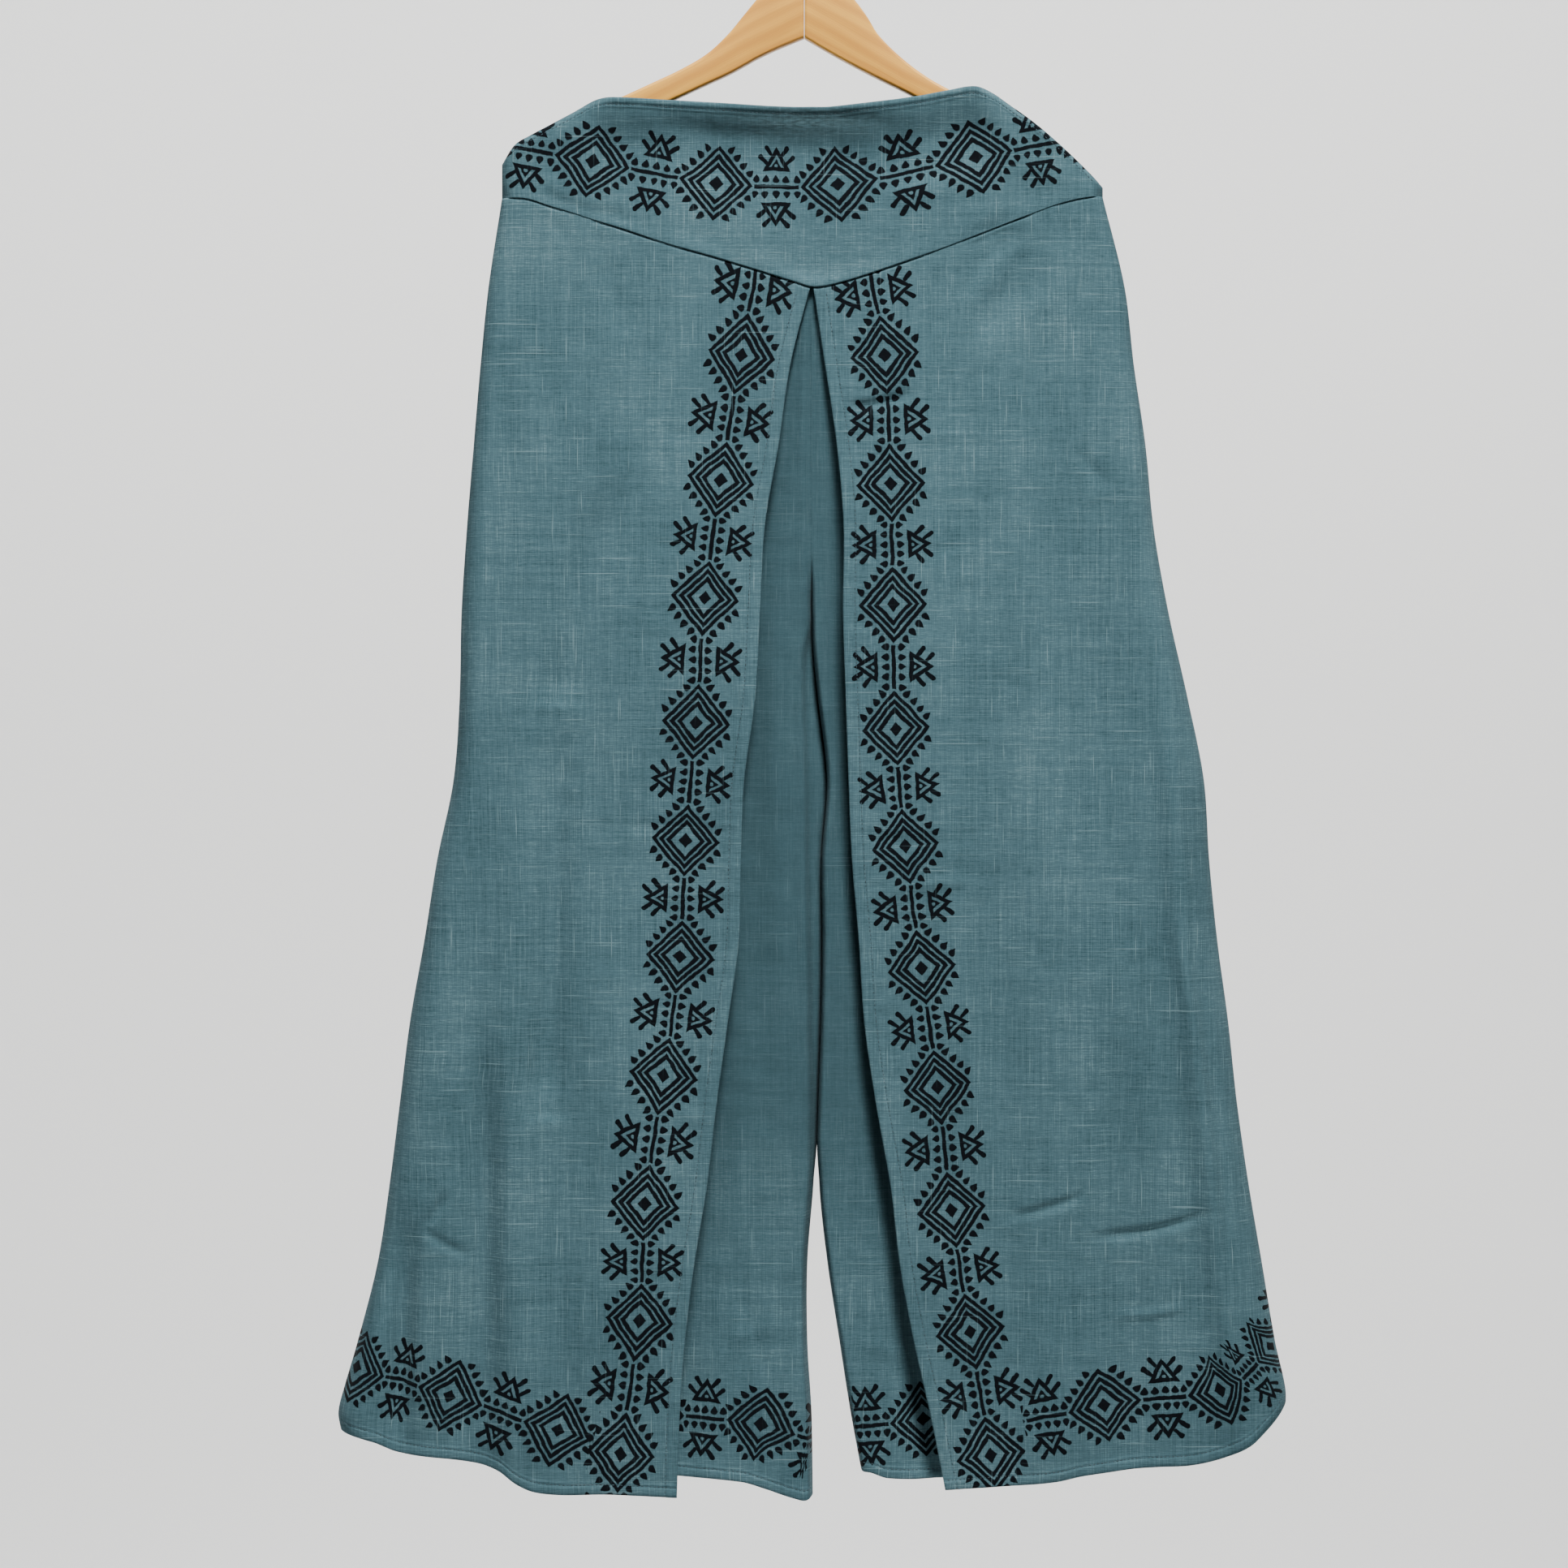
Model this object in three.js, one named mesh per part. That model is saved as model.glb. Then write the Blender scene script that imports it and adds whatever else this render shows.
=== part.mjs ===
// Wide-legged cotton trousers with two loose outer front panels, hung by the waist over the arms of a
// plain wooden hanger. Sizes are in millimetres. The origin is the inside top of the hanger's hook,
// +Z is up and the front faces -Y. Right and left are the wearer's, so the wearer's right is at -X.
import * as THREE from 'three';

const CLOTH = 1.4;          // wall of every cloth piece
const SEAM_GAP = 0.35;      // air between two pieces that are sewn together
const LAYER = 2.2;          // an outer panel's face in front of the leg under it, at their shared seams
const PANEL_EASE = { by: 3.5, from: 250, to: 450 };  // more air behind the outer panels below the yoke
const PANEL_LIFT = { by: 5, from: 300, to: 900, reach: 160 };  // and behind their free edges, to the hem
const HEM_TUCK = { by: 2.5, from: 950, to: 1100 };  // a front leg's side edge runs further in at the hem
const UNDER_FOLD = 0.6;     // how much of the outer panels' folds the legs under them share
const CENTRE_X = 1;         // the centre-front and centre-back seams
const CENTRE_TOP_Z = -290;  // a level of those seams just under the yoke
const SIDE_TOP_Z = -230;    // where the side seams leave the yoke
const CROTCH_Z = -532;      // where the four inseams meet
const SEAT_DIP = 110;       // height over which the centre seams turn in to the crotch
const INSEAM_ROLL = 9;      // how soon a leg turns round its inseam
const SHOULDER_ROLL = 5;    // how soon the yoke turns down over an arm

const WOOD_THICK = 11;      // the hanger's arms, front to back
const WOOD_BEVEL = 1.5;
const WIRE = 3.4;           // diameter of the hook's wire
const HOOK_RADIUS = 18;     // centre line of the hook's bend
const HOOK_BEND = { from: -58, to: 205 };  // its start and its tip, in degrees from +X
const STEM_RISE = [0, 8, 16];  // the straight stem, and where its sweep to the bend begins
const STEM_SWEEP = { x: 1.5, rise: 25 };
const ARM_TIP = 4.5;        // how far the arms' rounded ends reach past their last section
const WOOD_TOP = -70;       // top of the wood under the hook
const JOINT_X = -4.4;       // the glued joint between the arms

// Side seams of the legs, as seen from the front, and how far in the cloth rolls round them.
const SIDES = [
  { z: SIDE_TOP_Z, right: -225, left: 213.5, rollRight: 9, rollLeft: 9 },
  { z: -295, right: -235, left: 229.5, rollRight: 10, rollLeft: 11 },
  { z: -353, right: -241, left: 236.5, rollRight: 11, rollLeft: 13 },
  { z: -411, right: -246, left: 245, rollRight: 12, rollLeft: 15 },
  { z: -471, right: -251, left: 251, rollRight: 13, rollLeft: 17 },
  { z: -533, right: -255, left: 262, rollRight: 14, rollLeft: 20 },
  { z: -595, right: -256.5, left: 276, rollRight: 15, rollLeft: 25 },
  { z: -655, right: -261, left: 288, rollRight: 16, rollLeft: 29 },
  { z: -713, right: -273, left: 292, rollRight: 17, rollLeft: 31 },
  { z: -772, right: -282.5, left: 298, rollRight: 18, rollLeft: 31 },
  { z: -831, right: -293, left: 306, rollRight: 19, rollLeft: 31 },
  { z: -890, right: -300.5, left: 312.5, rollRight: 20, rollLeft: 30 },
  { z: -949, right: -308, left: 321, rollRight: 20, rollLeft: 28 },
  { z: -1008, right: -317, left: 331, rollRight: 20, rollLeft: 26 },
  { z: -1067, right: -332, left: 341, rollRight: 20, rollLeft: 24 },
  { z: -1101, right: -342, left: 348.5, rollRight: 20, rollLeft: 23 },
  { z: -1118, right: -346, left: 348, rollRight: 20, rollLeft: 22 },
  { z: -1132, right: -344, left: 345, rollRight: 20, rollLeft: 22 },
];

// Free front edges of the outer panels, from the point of the yoke down to their hems.
const FREE_EDGES = [
  { z: -296, right: 0, left: 2 },
  { z: -353, right: -14.5, left: 10.5 },
  { z: -411, right: -23, left: 19 },
  { z: -470, right: -33, left: 24 },
  { z: -532, right: -36.5, left: 23.5 },
  { z: -595, right: -40, left: 25.5 },
  { z: -655, right: -48, left: 27.5 },
  { z: -713, right: -50.5, left: 30 },
  { z: -772, right: -52, left: 35 },
  { z: -831, right: -60, left: 39 },
  { z: -890, right: -68, left: 47.5 },
  { z: -949, right: -75, left: 58 },
  { z: -1008, right: -84.5, left: 65 },
  { z: -1067, right: -91.5, left: 76 },
  { z: -1118, right: -95, left: 87.5 },
  { z: -1176, right: -97, left: 99 },
];

// Inner edges of the legs, and the crease down the front of the right leg beside its inseam.
const INSEAMS = [
  { z: CENTRE_TOP_Z, right: CENTRE_X - SEAM_GAP / 2, left: CENTRE_X + SEAM_GAP / 2, crease: 1 },
  { z: -515, right: CENTRE_X - SEAM_GAP / 2, left: CENTRE_X + SEAM_GAP / 2, crease: 1 },
  { z: -532, right: CENTRE_X - SEAM_GAP / 2, left: CENTRE_X + SEAM_GAP, crease: 1 },
  { z: -560, right: 0.5, left: 3.8, crease: -6 },
  { z: -595, right: 4.5, left: 6.8, crease: -7 },
  { z: -655, right: 11, left: 13.5, crease: -5 },
  { z: -713, right: 7, left: 9.5, crease: -4.5 },
  { z: -772, right: 7.5, left: 10, crease: -3 },
  { z: -831, right: 6.5, left: 9, crease: -2.5 },
  { z: -890, right: 4.5, left: 7, crease: -2 },
  { z: -949, right: 2.5, left: 6.5, crease: -3.5 },
  { z: -1008, right: -2, left: 12.5, crease: -7 },
  { z: -1067, right: -2, left: 21.5, crease: -7 },
  { z: -1118, right: 1, left: 29.5, crease: -4 },
  { z: -1180, right: 2, left: 41, crease: -2 },
];

// How far the face of a leg stands from the seams' plane, in front and behind.
const DEPTHS = [
  { z: -150, front: 8.6, back: 9.4 },
  { z: -240, front: 10, back: 10.8 },
  { z: -300, front: 11, back: 11.5 },
  { z: -420, front: 13, back: 14 },
  { z: -532, front: 15.5, back: 15.5 },
  { z: -700, front: 18, back: 17 },
  { z: -900, front: 19.5, back: 18 },
  { z: -1180, front: 21, back: 19 },
];

// Upper and lower edges of the front yoke. The ends lie on the arms, the middle is the open waist.
const YOKE = [
  { x: -225, top: -206, seam: -231 },
  { x: -216, top: -192, seam: -230.5 },
  { x: -205, top: -185, seam: -231.5 },
  { x: -190, top: -177, seam: -236.5 },
  { x: -175, top: -169, seam: -241 },
  { x: -157, top: -159.7, seam: -247 },
  { x: -142, top: -158.5, seam: -251.5 },
  { x: -104, top: -160.5, seam: -264 },
  { x: -69, top: -162.5, seam: -274 },
  { x: -39, top: -164.5, seam: -283 },
  { x: -11, top: -165.5, seam: -292 },
  { x: 1, top: -165.5, seam: -295.5 },
  { x: 13, top: -165.5, seam: -294.5 },
  { x: 36, top: -163, seam: -288 },
  { x: 76, top: -158, seam: -274.5 },
  { x: 100, top: -153.5, seam: -266 },
  { x: 119, top: -150.5, seam: -258.5 },
  { x: 133, top: -154.5, seam: -253 },
  { x: 147, top: -163.5, seam: -247.5 },
  { x: 163, top: -175, seam: -241.5 },
  { x: 179, top: -188.5, seam: -235.5 },
  { x: 194, top: -202.5, seam: -231.5 },
  { x: 207, top: -215.5, seam: -229.5 },
  { x: 213.5, top: -223, seam: -229.5 },
];

// Where the cloth leaves the arms and becomes the open edge of the waist.
const WAIST_ENDS = { right: -157, left: 133, run: 14 };
const BACK_SEAM_LEVEL = 0.375;  // share of the front seam's point that the back yoke leaves out
const BACK_WAIST_DROP = 4;  // the back of the waist hangs lower than the front

const HEM_RIGHT_PANEL = [
  { x: -344, z: -1130 },
  { x: -318, z: -1136.5 },
  { x: -300, z: -1144 },
  { x: -256, z: -1149 },
  { x: -227, z: -1157 },
  { x: -214, z: -1166 },
  { x: -201, z: -1172 },
  { x: -180, z: -1174.5 },
  { x: -145, z: -1173.5 },
  { x: -97, z: -1176 },
];
const HEM_LEFT_PANEL = [
  { x: 99, z: -1170 },
  { x: 140, z: -1168 },
  { x: 178, z: -1164.5 },
  { x: 200, z: -1160 },
  { x: 253, z: -1154.5 },
  { x: 276, z: -1153 },
  { x: 298, z: -1148 },
  { x: 318, z: -1139 },
  { x: 330, z: -1128.5 },
  { x: 340, z: -1118 },
  { x: 346.5, z: -1110 },
];
const HEM_LEGS = [
  { x: -344, front: -1122, back: -1128 },
  { x: -310, front: -1131, back: -1138 },
  { x: -256, front: -1142, back: -1147 },
  { x: -201, front: -1155, back: -1160 },
  { x: -145, front: -1160, back: -1164 },
  { x: -95, front: -1163, back: -1166.5 },
  { x: -50, front: -1167, back: -1165.5 },
  { x: -34, front: -1171.5, back: -1169 },
  { x: -13, front: -1178.5, back: -1175 },
  { x: -2, front: -1180, back: -1177 },
  { x: 38, front: -1160, back: -1158 },
  { x: 57, front: -1164.5, back: -1162 },
  { x: 99, front: -1164.5, back: -1163 },
  { x: 178, front: -1158, back: -1160 },
  { x: 223, front: -1151, back: -1153.5 },
  { x: 276, front: -1144, back: -1148 },
  { x: 318, front: -1129, back: -1134 },
  { x: 340, front: -1107, back: -1113 },
  { x: 346.5, front: -1100, back: -1107 },
];

const INNER_HEM_X = { right: 2, left: 38 };  // inner corners of the legs' hems

// The largest folds. Each runs down from z0 to z1 through three places across, stands forward by rise
// (or back, where it is negative) and fades over wide to both sides.
const FRONT_FOLDS = [
  { z0: -560, z1: -1190, xTop: -206, xMid: -211, xEnd: -212, wide: 19, rise: 7 },
  { z0: -420, z1: -600, xTop: -136, xMid: -165, xEnd: -183, wide: 16, rise: -4 },
  { z0: -540, z1: -900, xTop: -184, xMid: -188, xEnd: -193, wide: 14, rise: -6 },
  { z0: -740, z1: -1190, xTop: -262, xMid: -267, xEnd: -268, wide: 20, rise: 4 },
  { z0: -820, z1: -1190, xTop: -236, xMid: -236, xEnd: -238, wide: 12, rise: -5 },
  { z0: -950, z1: -1160, xTop: -297, xMid: -298, xEnd: -300, wide: 13, rise: -5 },
  { z0: -700, z1: -1200, xTop: -140, xMid: -138, xEnd: -134, wide: 34, rise: 4 },
  { z0: -480, z1: -1160, xTop: 254, xMid: 275, xEnd: 318, wide: 10, rise: 6 },
  { z0: -600, z1: -1190, xTop: 188, xMid: 184, xEnd: 180, wide: 36, rise: 4 },
  { z0: -700, z1: -1190, xTop: 132, xMid: 140, xEnd: 146, wide: 20, rise: -4 },
  { z0: -800, z1: -1180, xTop: 222, xMid: 230, xEnd: 238, wide: 16, rise: -5 },
];
const BACK_FOLDS = [
  { z0: -330, z1: -620, xTop: -90, xMid: -120, xEnd: -150, wide: 20, rise: -4 },
  { z0: -520, z1: -1190, xTop: -205, xMid: -214, xEnd: -220, wide: 22, rise: 6 },
  { z0: -640, z1: -1190, xTop: -160, xMid: -166, xEnd: -170, wide: 17, rise: -6 },
  { z0: -760, z1: -1190, xTop: -262, xMid: -270, xEnd: -280, wide: 16, rise: -5 },
  { z0: -700, z1: -1200, xTop: -84, xMid: -82, xEnd: -80, wide: 26, rise: 5 },
  { z0: -320, z1: -560, xTop: 100, xMid: 128, xEnd: 150, wide: 20, rise: -4 },
  { z0: -560, z1: -1190, xTop: 206, xMid: 216, xEnd: 226, wide: 22, rise: 6 },
  { z0: -620, z1: -1190, xTop: 150, xMid: 160, xEnd: 172, wide: 18, rise: -6 },
  { z0: -760, z1: -1180, xTop: 262, xMid: 274, xEnd: 292, wide: 15, rise: -5 },
  { z0: -700, z1: -1200, xTop: 92, xMid: 100, xEnd: 108, wide: 26, rise: 5 },
];

// Edges of the hanger's arms, from the joint outwards.
const ARM_RIGHT = [
  { x: -4.4, top: -70, bottom: -114.3 },
  { x: -19.8, top: -70.8, bottom: -120.6 },
  { x: -29.8, top: -75.9, bottom: -125 },
  { x: -40.4, top: -87.7, bottom: -130.2 },
  { x: -46.9, top: -95.6, bottom: -134 },
  { x: -59.9, top: -111.3, bottom: -141 },
  { x: -75.2, top: -125.5, bottom: -148 },
  { x: -94, top: -136.7, bottom: -156.7 },
  { x: -113.6, top: -146, bottom: -165.6 },
  { x: -138.4, top: -157.3, bottom: -177 },
  { x: -156.6, top: -165, bottom: -185.2 },
  { x: -174.9, top: -172.4, bottom: -193.4 },
  { x: -190, top: -180, bottom: -200.7 },
  { x: -205, top: -188.3, bottom: -208.4 },
  { x: -212.5, top: -196, bottom: -211.5 },
];
const ARM_LEFT = [
  { x: -4.4, top: -70, bottom: -114.3 },
  { x: 10.9, top: -70.8, bottom: -123.3 },
  { x: 22.1, top: -75.9, bottom: -129.6 },
  { x: 33.3, top: -87.7, bottom: -135.6 },
  { x: 41.6, top: -99, bottom: -139.9 },
  { x: 49.3, top: -111.5, bottom: -143.8 },
  { x: 67, top: -129, bottom: -152.5 },
  { x: 85.8, top: -143, bottom: -162 },
  { x: 103, top: -152.6, bottom: -171 },
  { x: 133, top: -168, bottom: -186.9 },
  { x: 163, top: -184, bottom: -204 },
  { x: 179, top: -193.6, bottom: -214.6 },
  { x: 194, top: -206, bottom: -225.5 },
  { x: 201.5, top: -215.5, bottom: -230 },
];

const COLOURS = { cloth: 0x587a82, wood: 0xdcb676, steel: 0xb9bcc0 };

const clamp = THREE.MathUtils.clamp;
const lerp = THREE.MathUtils.lerp;
const fade = THREE.MathUtils.smoothstep;

// A smooth curve through one column of a table, read at any value of its key column.
function smooth(table, key, column) {
  const rows = [...table].sort((a, b) => a[key] - b[key]);
  const slope = (i) => {
    const before = rows[Math.max(i - 1, 0)];
    const after = rows[Math.min(i + 1, rows.length - 1)];
    return (after[column] - before[column]) / (after[key] - before[key]);
  };
  return (value) => {
    const at = clamp(value, rows[0][key], rows.at(-1)[key]);
    const i = clamp(rows.findIndex((row) => row[key] >= at) - 1, 0, rows.length - 2);
    const span = rows[i + 1][key] - rows[i][key];
    const t = (at - rows[i][key]) / span;
    const rise = rows[i + 1][column] - rows[i][column];
    const bend = slope(i) * span * (1 - t) - slope(i + 1) * span * t + rise * (2 * t - 1);
    return rows[i][column] + rise * t + bend * t * (1 - t);
  };
}

// Points between four edge curves: across the piece from -X to +X, and down it.
function between(top, bottom, start, end) {
  return (across, down) => {
    const point = new THREE.Vector2();
    point.addScaledVector(top(across), 1 - down).addScaledVector(bottom(across), down);
    point.addScaledVector(start(down), 1 - across).addScaledVector(end(down), across);
    point.addScaledVector(top(0), -(1 - across) * (1 - down)).addScaledVector(top(1), -across * (1 - down));
    point.addScaledVector(bottom(0), -(1 - across) * down).addScaledVector(bottom(1), -across * down);
    return point;
  };
}

const levelEdge = (from, to, height) => (across) => {
  const x = lerp(from, to, across);
  return new THREE.Vector2(x, height(x));
};
const uprightEdge = (from, to, place) => (down) => {
  const z = lerp(from, to, down);
  return new THREE.Vector2(place(z), z);
};

// Fractions across a piece, closer together where the cloth rolls round a seam.
function stations(flat, rollAtStart, rollAtEnd) {
  const steps = [0, 0.1, 0.4, 1];
  const start = rollAtStart > 0 ? steps.map((step) => step * rollAtStart) : [0];
  const end = rollAtEnd > 0 ? steps.map((step) => 1 - step * rollAtEnd).reverse() : [1];
  const from = start.at(-1);
  const middle = Array.from({ length: flat - 1 }, (_, i) => lerp(from, end[0], (i + 1) / flat));
  return [...start, ...middle, ...end];
}

const PANEL_COLUMNS = { right: stations(12, 0.08, 0), left: stations(12, 0, 0.11) };
const LEG_COLUMNS = { right: stations(8, 0.06, 0.05), left: stations(8, 0.04, 0.08) };
const PANEL_ROWS = 28;
const LEG_ROWS = 26;

// A closed cloth wall: the outer points, the same points moved in by the cloth, and a rim round both.
function clothWall(acrosses, rows, place, facing) {
  const columns = acrosses.length;
  const outer = [];
  for (let i = 0; i <= rows; i++) {
    for (const across of acrosses) outer.push(place(across, i / rows));
  }
  const index = [];
  const quad = (a, b, c, d) => (facing < 0 ? index.push(a, d, c, a, c, b) : index.push(a, b, c, a, c, d));
  for (let i = 0; i < rows; i++) {
    for (let j = 0; j < columns - 1; j++) {
      const a = i * columns + j;
      quad(a, a + 1, a + columns + 1, a + columns);
    }
  }
  const sheet = new THREE.BufferGeometry().setFromPoints(outer);
  sheet.setIndex([...index]);
  sheet.computeVertexNormals();
  const normals = sheet.attributes.normal;
  const nearest = facing * SEAM_GAP / 2;
  const inner = outer.map((point, i) => {
    const normal = new THREE.Vector3().fromBufferAttribute(normals, i);
    const moved = point.clone().addScaledVector(normal, -CLOTH);
    if (facing * moved.y < SEAM_GAP / 2) moved.y = nearest;
    return moved;
  });
  const total = outer.length;
  for (let k = 0, count = index.length; k < count; k += 3) {
    index.push(index[k] + total, index[k + 2] + total, index[k + 1] + total);
  }
  const rim = [];
  for (let j = 0; j < columns; j++) rim.push(j);
  for (let i = 1; i <= rows; i++) rim.push(i * columns + columns - 1);
  for (let j = columns - 2; j >= 0; j--) rim.push(rows * columns + j);
  for (let i = rows - 1; i > 0; i--) rim.push(i * columns);
  rim.forEach((a, k) => {
    const b = rim[(k + 1) % rim.length];
    quad(b, a, a + total, b + total);
  });
  const wall = new THREE.BufferGeometry().setFromPoints([...outer, ...inner]);
  wall.setIndex(index);
  wall.computeVertexNormals();
  return wall;
}

// 0 at a seam that closes a tube, rising as a round fold to 1 on the flat of the cloth.
const roll = (distance, width) => Math.sqrt(1 - (1 - clamp(distance / width, 0, 1)) ** 2);

const side = { right: smooth(SIDES, 'z', 'right'), left: smooth(SIDES, 'z', 'left') };
const sideRoll = { right: smooth(SIDES, 'z', 'rollRight'), left: smooth(SIDES, 'z', 'rollLeft') };
const freeEdge = { right: smooth(FREE_EDGES, 'z', 'right'), left: smooth(FREE_EDGES, 'z', 'left') };
const inseam = { right: smooth(INSEAMS, 'z', 'right'), left: smooth(INSEAMS, 'z', 'left') };
const crease = smooth(INSEAMS, 'z', 'crease');
const depth = { front: smooth(DEPTHS, 'z', 'front'), back: smooth(DEPTHS, 'z', 'back') };
const yokeTop = smooth(YOKE, 'x', 'top');
const yokeSeam = smooth(YOKE, 'x', 'seam');
const legHem = { front: smooth(HEM_LEGS, 'x', 'front'), back: smooth(HEM_LEGS, 'x', 'back') };

function foldsAt(table, x, z) {
  let rise = 0;
  for (const fold of table) {
    const t = (fold.z0 - z) / (fold.z0 - fold.z1);
    if (t <= 0 || t >= 1) continue;
    const bend = 4 * (fold.xMid - (fold.xTop + fold.xEnd) / 2);
    const centre = lerp(fold.xTop, fold.xEnd, t) + bend * t * (1 - t);
    const strength = fade(t, 0, 0.35) * (1 - 0.6 * fade(t, 0.9, 1));
    rise += fold.rise * strength * Math.exp(-(((x - centre) / fold.wide) ** 2));
  }
  return rise;
}

// How far inside the outer layer's side edge a front leg's own side edge runs, and more at the hem.
const hemTuck = (z) => HEM_TUCK.by * fade(-z, HEM_TUCK.from, HEM_TUCK.to);
const tuck = (face, z) => (face === 'front' ? LAYER + hemTuck(z) : 0);

// Distance in from a side seam, which an inner layer meets a little further in.
const fromSide = (hand, x, z, inset) => (hand === 'right' ? x - side.right(z) : side.left(z) - x) - inset;

// Face of a leg, in front or behind, closed round its side seam and, under the crotch, round its inseam.
function legFace(hand, face, x, z) {
  const folds = face === 'front' ? foldsAt(FRONT_FOLDS, x, z) * UNDER_FOLD : foldsAt(BACK_FOLDS, x, z);
  const fromInseam = hand === 'right' ? inseam.right(z) - x : x - inseam.left(z);
  const closed = fade(CROTCH_Z + SEAT_DIP - z, 0, SEAT_DIP);
  const turn = lerp(1, roll(fromInseam, INSEAM_ROLL), closed);
  const pastCrease = hand === 'right' && face === 'front' ? fade(x - crease(z), 0, 5) * closed : 0;
  const stand = (depth[face](z) + folds) * roll(fromSide(hand, x, z, tuck(face, z)), sideRoll[hand](z));
  return stand * turn * (1 - 0.35 * pastCrease);
}

// Face of an outer front panel, moved out from the leg's face under it.
function panelFace(hand, x, z) {
  const fromFree = hand === 'right' ? freeEdge.right(z) - x : x - freeEdge.left(z);
  const ease = PANEL_EASE.by * fade(-z, PANEL_EASE.from, PANEL_EASE.to);
  const nearFree = 1 - 0.6 * clamp(fromFree / PANEL_LIFT.reach, 0, 1);
  const lift = ease + PANEL_LIFT.by * nearFree * fade(-z, PANEL_LIFT.from, PANEL_LIFT.to);
  const stand = depth.front(z) + LAYER + lift + foldsAt(FRONT_FOLDS, x, z);
  return stand * roll(fromSide(hand, x, z, 0), sideRoll[hand](z) + LAYER);
}

const frontPoint = (flat, stand) => new THREE.Vector3(flat.x, -Math.max(stand, SEAM_GAP / 2), flat.y);
const backPoint = (flat, stand) => new THREE.Vector3(flat.x, Math.max(stand, SEAM_GAP / 2), flat.y);

function panelPiece(hand) {
  const hem = smooth(hand === 'right' ? HEM_RIGHT_PANEL : HEM_LEFT_PANEL, 'x', 'z');
  const under = (x) => yokeSeam(x) - SEAM_GAP;
  const outerTop = side[hand](SIDE_TOP_Z);
  const outerEnd = hand === 'right' ? HEM_RIGHT_PANEL[0] : HEM_LEFT_PANEL.at(-1);
  const freeEnd = hand === 'right' ? HEM_RIGHT_PANEL.at(-1) : HEM_LEFT_PANEL[0];
  const point = freeEdge[hand](under(CENTRE_X));
  const sideEdge = uprightEdge(under(outerTop), outerEnd.z, side[hand]);
  const openEdge = uprightEdge(under(point), freeEnd.z, freeEdge[hand]);
  const flat = hand === 'right'
    ? between(levelEdge(outerTop, point, under), levelEdge(outerEnd.x, freeEnd.x, hem), sideEdge, openEdge)
    : between(levelEdge(point, outerTop, under), levelEdge(freeEnd.x, outerEnd.x, hem), openEdge, sideEdge);
  const place = (across, down) => {
    const at = flat(across, down);
    return frontPoint(at, panelFace(hand, at.x, at.y));
  };
  return clothWall(PANEL_COLUMNS[hand], PANEL_ROWS, place, -1);
}

const backYokeSeam = (x) => lerp(yokeSeam(x), SIDE_TOP_Z, BACK_SEAM_LEVEL);

function legPiece(hand, face) {
  const under = (x) => (face === 'front' ? yokeSeam(x) : backYokeSeam(x)) - SEAM_GAP;
  const sideAt = (z) => side[hand](z) + tuck(face, z) * (hand === 'right' ? 1 : -1);
  const outerTop = sideAt(SIDE_TOP_Z);
  const hemSide = hand === 'right' ? HEM_LEGS[0] : HEM_LEGS.at(-1);
  const sideEdge = uprightEdge(under(outerTop), hemSide[face], sideAt);
  const innerTop = inseam[hand](CENTRE_TOP_Z);
  const innerHem = INNER_HEM_X[hand];
  const innerEdge = uprightEdge(under(innerTop), legHem[face](innerHem), inseam[hand]);
  const outerHem = sideAt(hemSide[face]);
  const low = legHem[face];
  const innerEnd = inseam[hand](low(innerHem));
  const flat = hand === 'right'
    ? between(levelEdge(outerTop, innerTop, under), levelEdge(outerHem, innerEnd, low), sideEdge, innerEdge)
    : between(levelEdge(innerTop, outerTop, under), levelEdge(innerEnd, outerHem, low), innerEdge, sideEdge);
  const place = (across, down) => {
    const at = flat(across, down);
    const stand = legFace(hand, face, at.x, at.y);
    return face === 'front' ? frontPoint(at, stand) : backPoint(at, stand);
  };
  return clothWall(LEG_COLUMNS[hand], LEG_ROWS, place, face === 'front' ? -1 : 1);
}

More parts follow.
